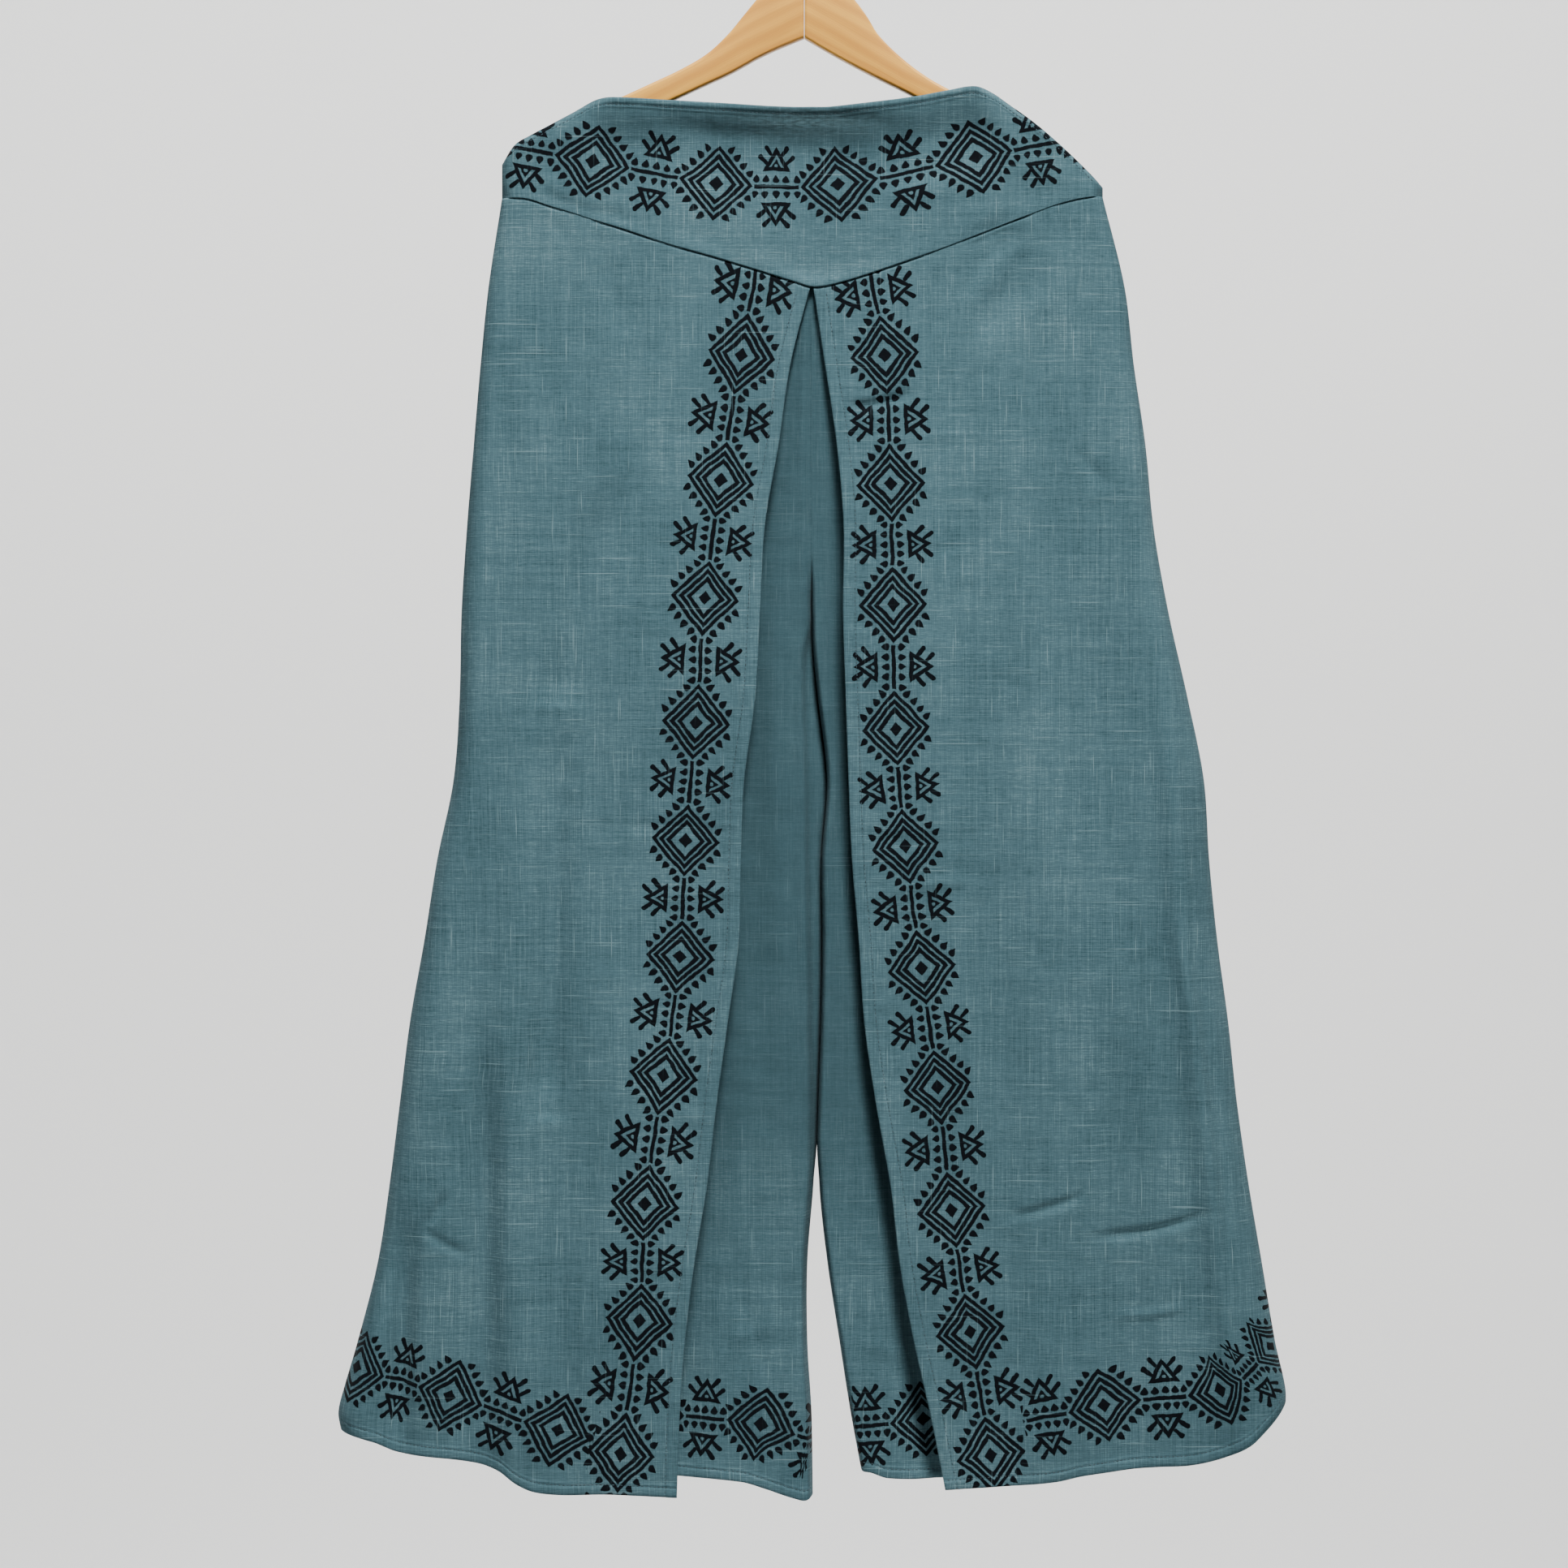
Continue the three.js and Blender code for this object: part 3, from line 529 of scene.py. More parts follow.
def add_bake_map(mesh, across, down, faces, ring_length):
    """A map with no part over another: the outer face, the inner face and the rim side by side."""
    total = across.size
    spots = {}
    for label in ("outer", "inner"):
        low, high = BAKE_EDGES[label]
        heights = lerp(BAKE_TOP, BAKE_LOW, down.ravel())
        spots[label] = np.stack([lerp(low, high, across.ravel()), heights], -1)
    values = np.concatenate([spots["outer"], spots["inner"]])[faces]
    rim_from = len(faces) - ring_length
    low, high = BAKE_EDGES["rim"]
    step = (BAKE_TOP - BAKE_LOW) / ring_length
    up = np.arange(ring_length) * step + BAKE_LOW
    for corner in range(4):
        point = faces[rim_from:, corner]
        first = (point % total) == (faces[rim_from:, 0] % total)
        values[rim_from:, corner, 0] = np.where(point < total, low, high)
        values[rim_from:, corner, 1] = np.where(first, up, up + step)
    layer = mesh.uv_layers.new(name="OFBake")
    layer.uv.foreach_set("vector", values.reshape(-1).astype(np.float32))


def add_node(tree, kind, inputs, **settings):
    """A node with its settings, its inputs linked to other nodes or set to plain values."""
    node = tree.nodes.new(kind)
    for label, value in settings.items():
        setattr(node, label, value)
    for place, value in inputs.items():
        source = value.socket if isinstance(value, Worked) else value
        if isinstance(source, bpy.types.NodeSocket):
            tree.links.new(source, node.inputs[place])
        else:
            node.inputs[place].default_value = source
    return node


class Worked:
    """A number worked out at every point of a material, so that its formulas read as plain sums."""

    def __init__(self, tree, socket):
        self.tree = tree
        self.socket = socket

    def join(self, operation, *others):
        inputs = dict(enumerate((self, *others)))
        node = add_node(self.tree, "ShaderNodeMath", inputs, operation=operation)
        return Worked(self.tree, node.outputs[0])

    def __add__(self, other):
        return self.join("ADD", other)

    def __sub__(self, other):
        return self.join("SUBTRACT", other)

    def __rsub__(self, other):
        return self.join("MULTIPLY_ADD", -1.0, other)

    def __mul__(self, other):
        return self.join("MULTIPLY", other)

    def __truediv__(self, other):
        return self.join("DIVIDE", other)

    def __abs__(self):
        return self.join("ABSOLUTE")

    def least(self, *others):
        result = self
        for other in others:
            result = result.join("MINIMUM", other)
        return result

    def most(self, *others):
        result = self
        for other in others:
            result = result.join("MAXIMUM", other)
        return result

    def eased(self, low, high, start=0.0, end=1.0):
        inputs = {"Value": self, "From Min": low, "From Max": high, "To Min": start, "To Max": end}
        node = add_node(self.tree, "ShaderNodeMapRange", inputs, interpolation_type="SMOOTHSTEP")
        return Worked(self.tree, node.outputs["Result"])


def hypotenuse(first, second):
    return (first * first + second * second).join("SQRT")


def grain_noise(tree, first, second, third=0.0, detail=2.0, roughness=0.5):
    """Noise read at two worked-out places, about 0.5 on average."""
    place = add_node(tree, "ShaderNodeCombineXYZ", {0: first, 1: second, 2: third}).outputs[0]
    inputs = {"Vector": place, "Scale": 1.0, "Detail": detail, "Roughness": roughness}
    return Worked(tree, add_node(tree, "ShaderNodeTexNoise", inputs).outputs[0])


# The print is a traditional border, pressed on with a carved block: nested diamonds with drops round
# them, joined by a bar with dots and a rayed triangle on either side.
BLOCK_SIZES = ("Repeat", "Half along", "Half across", "Seed")
RINGS = ((1.0, 2.3), (0.765, 2.3), (0.53, 2.5))
SOLID = 0.2
DROP = {"out": 6.3, "spacing": 7.3, "half": 1.95, "tall": 3.0, "reach": 15.2}
BAR = {"half": 1.25, "gap": 3.2}
DOT = {"out": 5.9, "share": 0.47, "half": 2.1, "tall": 2.6, "rows": 2.5}
TAPER = -0.2
TRIANGLE = {"base": 11.6, "tip": 29.0, "half": 10.8, "line": 2.5, "inset": 4.7}
EYE = {"out": 15.2, "radius": 1.5}
RAYS = ((7.7, 17.2, 12.6, 21.6), (4.5, 23.8, 8.2, 28.2))
RAY = {"radius": 1.15, "swell": 0.5}
# How the hand-cut block strays from its drawing, and how the ink spreads, dries and wears.
STRAY = {"size": 17, "by": 3.0, "at": (1.0, 5.0), "detail": 1.0}
ROUGH = {"size": 3.2, "by": 1.1, "at": (2.0, 7.0), "detail": 2.0}
INK_EDGE = 0.28
SPREAD = {"size": 7, "by": 0.9, "mean": 0.22}
DRY = {"along": 1.1, "across": 0.6, "roughness": 0.7}
PATCHES = {"size": 21, "share": 0.55}
WORN_INK = (0.98, 1.2, 1.0, 0.5)


def capsule(tree, along, aside, start_along, start_aside, end_along, end_aside):
    """Distance from a short round-ended stroke of the block."""
    step_along = end_along - start_along
    step_aside = end_aside - start_aside
    from_along = along - start_along
    from_aside = aside - start_aside
    share = (from_along * step_along + from_aside * step_aside) / (step_along**2 + step_aside**2)
    share = share.join("MAXIMUM", 0.0).join("MINIMUM", 1.0)
    radius = share * RAY["swell"] + RAY["radius"]
    return hypotenuse(from_along - share * step_along, from_aside - share * step_aside) - radius


def block_print():
    """The border as a node group: how much ink lies at a place along and across a band."""
    tree = bpy.data.node_groups.new("Block print", "ShaderNodeTree")
    for label in ("Along", "Across", *BLOCK_SIZES):
        tree.interface.new_socket(name=label, in_out="INPUT", socket_type="NodeSocketFloat")
    tree.interface.new_socket(name="Ink", in_out="OUTPUT", socket_type="NodeSocketFloat")
    given = tree.nodes.new("NodeGroupInput")
    along, across, repeat, half_along, half_across, seed = (
        Worked(tree, given.outputs[place]) for place in range(6)
    )
    drawn = []
    for number, place in enumerate((along, across)):
        for kind in (STRAY, ROUGH):
            spot = (along / kind["size"] + seed, across / kind["size"], kind["at"][number])
            place = place + (grain_noise(tree, *spot, kind["detail"]) - 0.5) * kind["by"]
        drawn.append(place)
    along, across = drawn
    low = repeat * -0.5
    high = repeat * 0.5
    past = abs(along.join("WRAP", high, low))
    aside = abs(across)
    share = past / half_along + aside / half_across
    length = hypotenuse(half_along, half_across)
    scale = half_along * half_across / length
    shapes = []
    for level, line in RINGS:
        shapes.append(abs((share - level) * scale) - line / 2)
    shapes.append((share - SOLID) * scale)
    out = (share - 1.0) * scale - DROP["out"]
    along_side = ((half_along - past) * half_along + aside * half_across) / length - length / 2
    slot = (along_side - DROP["spacing"] / 2).join("WRAP", DROP["spacing"] / 2, -DROP["spacing"] / 2)
    taper = out * TAPER + 1.0
    drop = (hypotenuse(slot / (taper * DROP["half"]), out / DROP["tall"]) - 1.0) * DROP["half"]
    shapes.append(drop.most(abs(along_side) - DROP["reach"]))
    to_link = repeat * 0.5 - past
    bar_half = repeat * 0.5 - half_along - BAR["gap"]
    shapes.append((aside - BAR["half"]).most(to_link - bar_half))
    spacing = bar_half * DOT["share"]
    dot_along = to_link - (to_link / spacing).join("ROUND") * spacing
    dot_out = aside - DOT["out"]
    narrowed = (dot_out * TAPER + 1.0) * DOT["half"]
    dot = (hypotenuse(dot_along / narrowed, dot_out / DOT["tall"]) - 1.0) * DOT["half"]
    shapes.append(dot.most(to_link - spacing * DOT["rows"]))
    rise = TRIANGLE["tip"] - TRIANGLE["base"]
    slant = math.hypot(rise, TRIANGLE["half"])
    leaning = (to_link - TRIANGLE["half"]) * (rise / slant)
    leaning = leaning + (aside - TRIANGLE["base"]) * (TRIANGLE["half"] / slant)
    above_base = TRIANGLE["base"] - aside
    triangle = leaning.most(above_base)
    shapes.append(abs(triangle + TRIANGLE["line"] / 2) - TRIANGLE["line"] / 2)
    eye = EYE["radius"] - hypotenuse(to_link, aside - EYE["out"])
    shapes.append((leaning + TRIANGLE["inset"]).most(above_base, eye))
    for ray in RAYS:
        shapes.append(capsule(tree, to_link, aside, *ray))
    distance = shapes[0].least(*shapes[1:])
    spread = grain_noise(tree, along / SPREAD["size"] + seed, across / SPREAD["size"], 9.0, 3.0)
    spread = (spread - 0.5) * SPREAD["by"] + SPREAD["mean"]
    ink = (distance - spread).eased(-INK_EDGE, INK_EDGE, 1.0, 0.0)
    dry = grain_noise(tree, along / DRY["along"] + seed, across / DRY["across"], 3.0, 3.0, DRY["roughness"])
    patchy = grain_noise(tree, along / PATCHES["size"] + seed, across / PATCHES["size"], 4.0, 1.0)
    worn = (dry + patchy * PATCHES["share"]).eased(*WORN_INK)
    taken = tree.nodes.new("NodeGroupOutput")
    tree.links.new((ink * worn).socket, taken.inputs[0])
    return tree


BLOCK_PRINT = block_print()
CLOTH_DARK = (0.022, 0.051, 0.062)
CLOTH_MID = (0.050, 0.101, 0.121)
CLOTH_PALE = (0.160, 0.250, 0.275)
INK = (0.0015, 0.0025, 0.004)
BLEED = 0.3
# A dark patch just below the middle of the front waist: partly a real smear of rubbed ink, partly painted
# shade where the waist's top leans forward.
SMEAR_AND_SHADE_COLOUR = (0.020, 0.036, 0.040)
SMEAR_AND_SHADE_FADE = (0.1, 1.0, 0.92, 0.0)
THREAD = 0.64
THREAD_SHIFT = 7.3
# Streaks of the weave: their size across and down, their shift in the noise, its detail and roughness.
STREAKS = {
    "weft": (11, 0.62, 0, 3.0, 0.6),
    "warp": (0.66, 14, 3, 3.0, 0.6),
    "fine weft": (3.4, 0.5, 5, 1.0, 0.5),
    "worn": (70, 100, 11, 2.0, 0.5),
    "mottle": (7, 1.6, 17, 3.0, 0.6),
}
# Streaks within one thread: their length along it, their shift in the noise and its detail.
THREAD_STREAKS = {
    "long warp": (90, 13, 0.0),
    "long weft": (80, 15, 0.0),
    "warp slub": (44, 9, 1.0),
    "weft slub": (62, 7, 1.0),
}
SLUB = {"from": 0.63, "to": 0.84, "share": 0.62, "height": 0.8, "unprinted": 0.25}
WEAVE_SHARE = {"weft": 0.45, "warp": 0.3, "fine weft": 0.25}
CONTRAST = {"threads": 1.4, "lines": 0.3, "worn": 0.4}
DARK_TO_MID = (0.15, 0.6)
MID_TO_PALE = (0.5, 1.05)
# Painted shade: the fronts of the legs darken from none near the hem to their most above the knee, in place
# of the shade between and under the outer panels.
PAINTED_SHADE_UNDER_PANELS = {"from": -1080, "to": -860, "share": 0.6}
COTTON_FINISH = {"Roughness": 0.9, "Specular IOR Level": 0.06, "Sheen Weight": 0.015, "Sheen Roughness": 0.5}
WEAVE_BUMP = {"Strength": 0.55, "Distance": 0.0004}


def mixed(tree, share, first, second):
    """Two colours mixed by a worked-out share of the second."""
    first, second = ((*colour, 1.0) if isinstance(colour, tuple) else colour for colour in (first, second))
    inputs = {"Factor": share, 6: first, 7: second}
    return add_node(tree, "ShaderNodeMix", inputs, data_type="RGBA").outputs[2]


def new_material(name, finish):
    """A material, its tree and its shader, with the shader's plain values set on its own sockets."""
    material = bpy.data.materials.new(name)
    material.use_nodes = True
    tree = material.node_tree
    shader = tree.nodes["Principled BSDF"]
    for label, value in finish.items():
        shader.inputs[label].default_value = value
    return material, tree, shader


def add_bump(tree, shader, height, values):
    bump = add_node(tree, "ShaderNodeBump", {**values, "Height": height})
    tree.links.new(bump.outputs[0], shader.inputs["Normal"])


def cotton(name, bands, seed, waist_smear_and_shade=None, shade_under_panels=False):
    """Matt slub cotton: fine uneven threads both ways, thicker pale ones here and there, and its print;
    where asked, painted shade on the legs, and a patch of rubbed ink with painted shade at the waist.
    """
    material, tree, shader = new_material(name, COTTON_FINISH)

    def map_places(label):
        place = add_node(tree, "ShaderNodeUVMap", {}, uv_map=label).outputs[0]
        split = add_node(tree, "ShaderNodeSeparateXYZ", {0: place})
        return Worked(tree, split.outputs[0]), Worked(tree, split.outputs[1])

    def streaks(kind):
        wide, tall, shift, detail, roughness = STREAKS[kind]
        return grain_noise(tree, across / wide, down / tall, seed + shift, detail, roughness)

    def thread_streaks(kind):
        run, shift, detail = THREAD_STREAKS[kind]
        if kind in ("long warp", "warp slub"):
            return grain_noise(tree, warp_thread, down / run, seed + shift, detail)
        return grain_noise(tree, across / run, weft_thread, seed + shift, detail)

    across, down = map_places("Weave")
    warp_thread = (across / THREAD).join("FLOOR") * THREAD_SHIFT
    weft_thread = (down / THREAD).join("FLOOR") * THREAD_SHIFT
    weft, warp, fine_weft = (streaks(kind) * share for kind, share in WEAVE_SHARE.items())
    threads = weft + warp + fine_weft
    lines = thread_streaks("long warp") + thread_streaks("long weft") - 1.0
    slubs = thread_streaks("weft slub").most(thread_streaks("warp slub")).eased(SLUB["from"], SLUB["to"])
    tone = (threads - 0.5) * CONTRAST["threads"] + lines * CONTRAST["lines"]
    tone = tone + (streaks("worn") - 0.5) * CONTRAST["worn"] + 0.5
    colour = mixed(tree, tone.eased(*DARK_TO_MID), CLOTH_DARK, CLOTH_MID)
    colour = mixed(tree, tone.eased(*MID_TO_PALE), colour, CLOTH_PALE)
    colour = mixed(tree, slubs * SLUB["share"], colour, CLOTH_PALE)
    # Painted shade: darker towards the top, in place of the shade that falls on the legs between and under
    # the outer panels.
    if shade_under_panels:
        painted_shade = down.eased(PAINTED_SHADE_UNDER_PANELS["from"], PAINTED_SHADE_UNDER_PANELS["to"], 0.0, PAINTED_SHADE_UNDER_PANELS["share"])
        colour = mixed(tree, painted_shade, colour, CLOTH_DARK)
    # Rubbed ink and painted shade: a mottled dark patch, partly a real ink smear and partly in place of the
    # shade under the waist's leaning top.
    if waist_smear_and_shade:
        near = hypotenuse((across - waist_smear_and_shade["x"]) / waist_smear_and_shade["wide"], (down - waist_smear_and_shade["z"]) / waist_smear_and_shade["tall"])
        mottle = streaks("mottle").eased(0.3, 0.7, 0.35, 1.0)
        colour = mixed(tree, near.eased(*SMEAR_AND_SHADE_FADE) * mottle, colour, SMEAR_AND_SHADE_COLOUR)
    ink = None
    for label, sizes in bands.items():
        along, aside = map_places(label)
        inputs = {"Along": along, "Across": aside, **{socket: sizes[socket] for socket in BLOCK_SIZES}}
        group = add_node(tree, "ShaderNodeGroup", inputs, node_tree=BLOCK_PRINT)
        printed = Worked(tree, group.outputs[0]) * along.join("GREATER_THAN", sizes["From"])
        ink = printed if ink is None else ink.most(printed)
    if ink is not None:
        right_side = add_node(tree, "ShaderNodeAttribute", {}, attribute_name="Outside")
        shown = Worked(tree, right_side.outputs["Fac"]) * (1 - BLEED) + BLEED
        ink = ink * shown * (1.0 - slubs * SLUB["unprinted"])
        colour = mixed(tree, ink, colour, INK)
    tree.links.new(colour, shader.inputs["Base Color"])
    add_bump(tree, shader, threads + slubs * SLUB["height"], WEAVE_BUMP)
    return material


HEM_BLOCK = {"Repeat": 83.5, "Half along": 24.4, "Half across": 25.6}
LEG_BANDS = {
    "right": table(
        "x z",
        (-352, -1074),
        (-310, -1085),
        (-256, -1096),
        (-201, -1109),
        (-145, -1114),
        (-78, -1120.3),
        (-36.2, -1124.4),
        (-8.4, -1133.2),
        (20, -1140),
    ),
    "left": table(
        "x z",
        (20, -1128),
        (42.4, -1125.7),
        (82.3, -1121.7),
        (130, -1118),
        (180, -1114),
        (223, -1107),
        (276, -1099),
        (318, -1084),
        (352, -1060),
    ),
}
LEG_DIAMOND_X = {"right": -36.2, "left": 82.3}
LEG_SIZE = {"wide": 330, "tall": 900}
BAND_POINTS = 500
WHOLE_BAND = -1000.0


def tuck(face, z):
    """How far inside the outer panel's side edge a front leg's own side edge runs."""
    if face == "back":
        return np.zeros_like(z)
    return LAYER + HEM_TUCK["by"] * fade(-z, HEM_TUCK["low"], HEM_TUCK["high"])


def from_side(hand, x, z, inset):
    return TURNS[hand] * (x - side[hand](z)) - inset


def leg_seam(face, x):
    """The seam that a leg hangs from, straighter behind than in front."""
    seam = yoke_seam(x)
    return seam if face == "front" else lerp(seam, SIDE_TOP_Z, BACK_SEAM_LEVEL)


def bare_leg(hand, face, x, z):
    """Face of a leg with its large folds only."""
    if face == "front":
        folds = folds_at(FRONT_FOLDS, x, z) * UNDER_FOLD + folds_at(LEG_SINK, x, z)
    else:
        folds = folds_at(BACK_FOLDS, x, z)
    from_inseam = TURNS[hand] * (inseam(hand, z) - x)
    closed = fade(CROTCH_Z + SEAT_DIP[face] - z, 0, SEAT_DIP[face])
    turn = lerp(1, roll(from_inseam, INSEAM_ROLL[hand]), closed)
    if hand == "right" and face == "front":
        turn = turn * (1 - 0.35 * fade(x - inner_crease(z), 0, 5) * closed)
    return (depth[face](z) + folds) * roll(from_side(hand, x, z, tuck(face, z)), side_roll[hand](z)) * turn


def leg_face(hand, face):
    seed = {"front": 11, "back": 21}[face] + (hand == "left")
    creases = LEG_CREASES if face == "front" else BACK_CREASES

    def stand(x, z):
        above_hem = z - leg_hem[face](x)
        below_seam = leg_seam(face, x) - z
        inside = np.clip(from_side(hand, x, z, tuck(face, z)) / 40, 0, 1)
        detail = (creases_at(creases, x, z) + rumple(x, z, seed)) * inside
        detail = detail + hem_relief(above_hem, LEG_HEM) + pucker(x, above_hem - LEG_HEM, 9, seed)
        detail = detail + (pucker(x, below_seam, 8, seed + 2) if face == "back" else 0)
        edge = roll(from_side(hand, x, z, tuck(face, z)), side_roll[hand](z))
        return bare_leg(hand, face, x, z) + detail * np.minimum(edge, 1)

    return stand


def from_left(hand, outer, inner):
    """The outer and the inner one of a pair, in their order from -X to +X."""
    return (outer, inner) if hand == "right" else (inner, outer)


def edge_plane(hand, x, z):
    """Where a leg's inner edge closes, the right one a little behind and the left one in front."""
    from_inseam = TURNS[hand] * (inseam(hand, z) - x)
    below_crotch = fade(-z, ASIDE["from"], ASIDE["to"]) * touching(z)
    return TURNS[hand] * ASIDE["by"] * below_crotch * (1 - fade(from_inseam, 0, ASIDE["reach"]))


leg_faces = {}
for face, facing in FACINGS.items():
    for hand, turn in TURNS.items():
        seam = lambda x, face=face: leg_seam(face, x) - SEAM_GAP
        side_at = lambda z, hand=hand, face=face: side[hand](z) + TURNS[hand] * tuck(face, z)
        hem_side = LEG_HEMS[face][from_left(hand, 0, -1)[0]]
        outer_top = side_at(np.array(SIDE_TOP_Z))
        inner_at = lambda z, hand=hand: inseam(hand, z)
        inner_top = inner_at(np.array(CENTRE_TOP_Z))
        low = leg_hem[face]
        outer_hem = side_at(np.array(hem_side))
        inner_hem = inner_at(low(INNER_HEM_X[hand]))
        side_edge = upright_edge(seam(outer_top), hem_side, side_at)
        inner_edge = upright_edge(seam(inner_top), low(INNER_HEM_X[hand]), inner_at)
        upper_edge = level_edge(*from_left(hand, outer_top, inner_top), seam)
        lower_edge = level_edge(*from_left(hand, outer_hem, inner_hem), low)
        flat = between(upper_edge, lower_edge, *from_left(hand, side_edge, inner_edge))
        step = COARSE_STEP if face == "front" else BACK_STEP
        columns = stations(LEG_SIZE["wide"], "turned", "turned", step)
        rows = stations(LEG_SIZE["tall"], "seam", "hem", step)
        leg_faces[hand, face] = leg_face(hand, face)
        band_x = np.linspace(LEG_BANDS[hand]["x"][0], LEG_BANDS[hand]["x"][-1], BAND_POINTS)
        line = np.column_stack([band_x, smooth(LEG_BANDS[hand], "x", "z")(band_x)])
        run = run_along(line, leg_faces[hand, face], LEG_DIAMOND_X[hand])
        plane = lambda x, z, hand=hand: edge_plane(hand, x, z)
        name = f"{hand}_leg_{face}"
        bands = {"Hem": (line, run, -1)}
        piece = cloth_shell(name, flat, leg_faces[hand, face], facing, columns, rows, bands, plane)
        sizes = {"Hem": {**HEM_BLOCK, "Seed": 3.0 + 7 * turn + facing, "From": WHOLE_BAND}}
        # The front legs get the painted shade of the recess under the outer panels.
        look = cotton(f"cotton_{name}", sizes, 10 * turn + facing, shade_under_panels=face == "front")
        piece.data.materials.append(look)
        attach(piece, "root")
        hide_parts(f"leg_{face}_{hand}")

# Outer panels. Two loose fronts of the same cotton, sewn into the yoke's pointed seam and the side seams
# over the legs. Their centre edges hang free, with a 10 mm hem, and a printed border runs down each.
PANEL_EASE = {"by": 3.5, "low": 250, "high": 450}
PANEL_LIFT = {"right": 6.5, "left": 8.5, "low": 270, "high": 600, "reach": 160}
PANEL_HEM = 8.5
FREE_HEM = 10.0
PANEL_SIZE = {"wide": 270, "tall": 900}
SEAM_DIP = {"rise": -1.7, "wide": 1.4}
COLUMN_BLOCK = {"Repeat": 88.7, "Half along": 25.8, "Half across": 23.2}
# Centres of the printed diamonds down each panel and along its hem, numbered one after another.
COLUMN_DIAMONDS = table(
    "number right_x right_z left_x left_z",
    (-0.62, -39.5, -284, 44, -289),
    (0, -50.3, -346, 54, -346),
    (1, -65.2, -437, 58.1, -439.7),
    (2, -76.4, -522.5, 59.9, -527.3),
    (3, -82.9, -612.8, 61.7, -617.5),
    (4, -90.6, -698.4, 68.7, -702.5),
    (5, -94.7, -782.7, 80.5, -791),
    (6, -106.5, -868.9, 92.3, -877.1),
    (7, -120, -962.1, 102.4, -966.8),
    (8, -124.2, -1047, 115.9, -1055.3),
    (9, -137.8, -1143.8, 131.1, -1145.4),
    (9.5, -141.5, -1188, 137, -1190),
)
HEM_DIAMONDS = {
    "right": table(
        "number x z",
        (-0.6, -136, -1139),
        (0, -183.5, -1127.2),
        (1, -262.3, -1102.1),
        (2, -330.7, -1083),
        (2.4, -352, -1076),
    ),
    "left": table(
        "number x z",
        (-0.8, 146, -1122),
        (0, 213.3, -1109),
        (1, 297.8, -1097.8),
        (2, 336, -1068),
        (2.4, 350, -1050),
    ),
}
HEM_PRINT_FROM = {"right": -27.5, "left": -58.5}
FREE_EDGES = table(
    "z right left",
    (-296, 0, 2),
    (-353, -14.5, 10.5),
    (-411, -23, 19),
    (-470, -33, 24),
    (-532, -36.5, 23.5),
    (-595, -40, 25.5),
    (-655, -48, 27.5),
    (-713, -50.5, 30),
    (-772, -52, 35),
    (-831, -60, 39),
    (-890, -68, 47.5),
    (-949, -75, 58),
    (-1008, -84.5, 65),
    (-1067, -91.5, 76),
    (-1118, -95, 87.5),
    (-1176, -97, 99),
)
PANEL_HEMS = {
    "right": table(
        "x z",
        (-344, -1130),
        (-318, -1136.5),
        (-300, -1144),
        (-256, -1149),
        (-227, -1157),
        (-214, -1166),
        (-201, -1172),
        (-180, -1174.5),
        (-145, -1173.5),
        (-97, -1176),
    ),
    "left": table(
        "x z",
        (99, -1170),
        (140, -1168),
        (178, -1164.5),
        (200, -1160),
        (253, -1154.5),
        (276, -1153),
        (298, -1148),
        (318, -1139),
        (330, -1128.5),
        (340, -1118),
        (346.5, -1110),
    ),
}
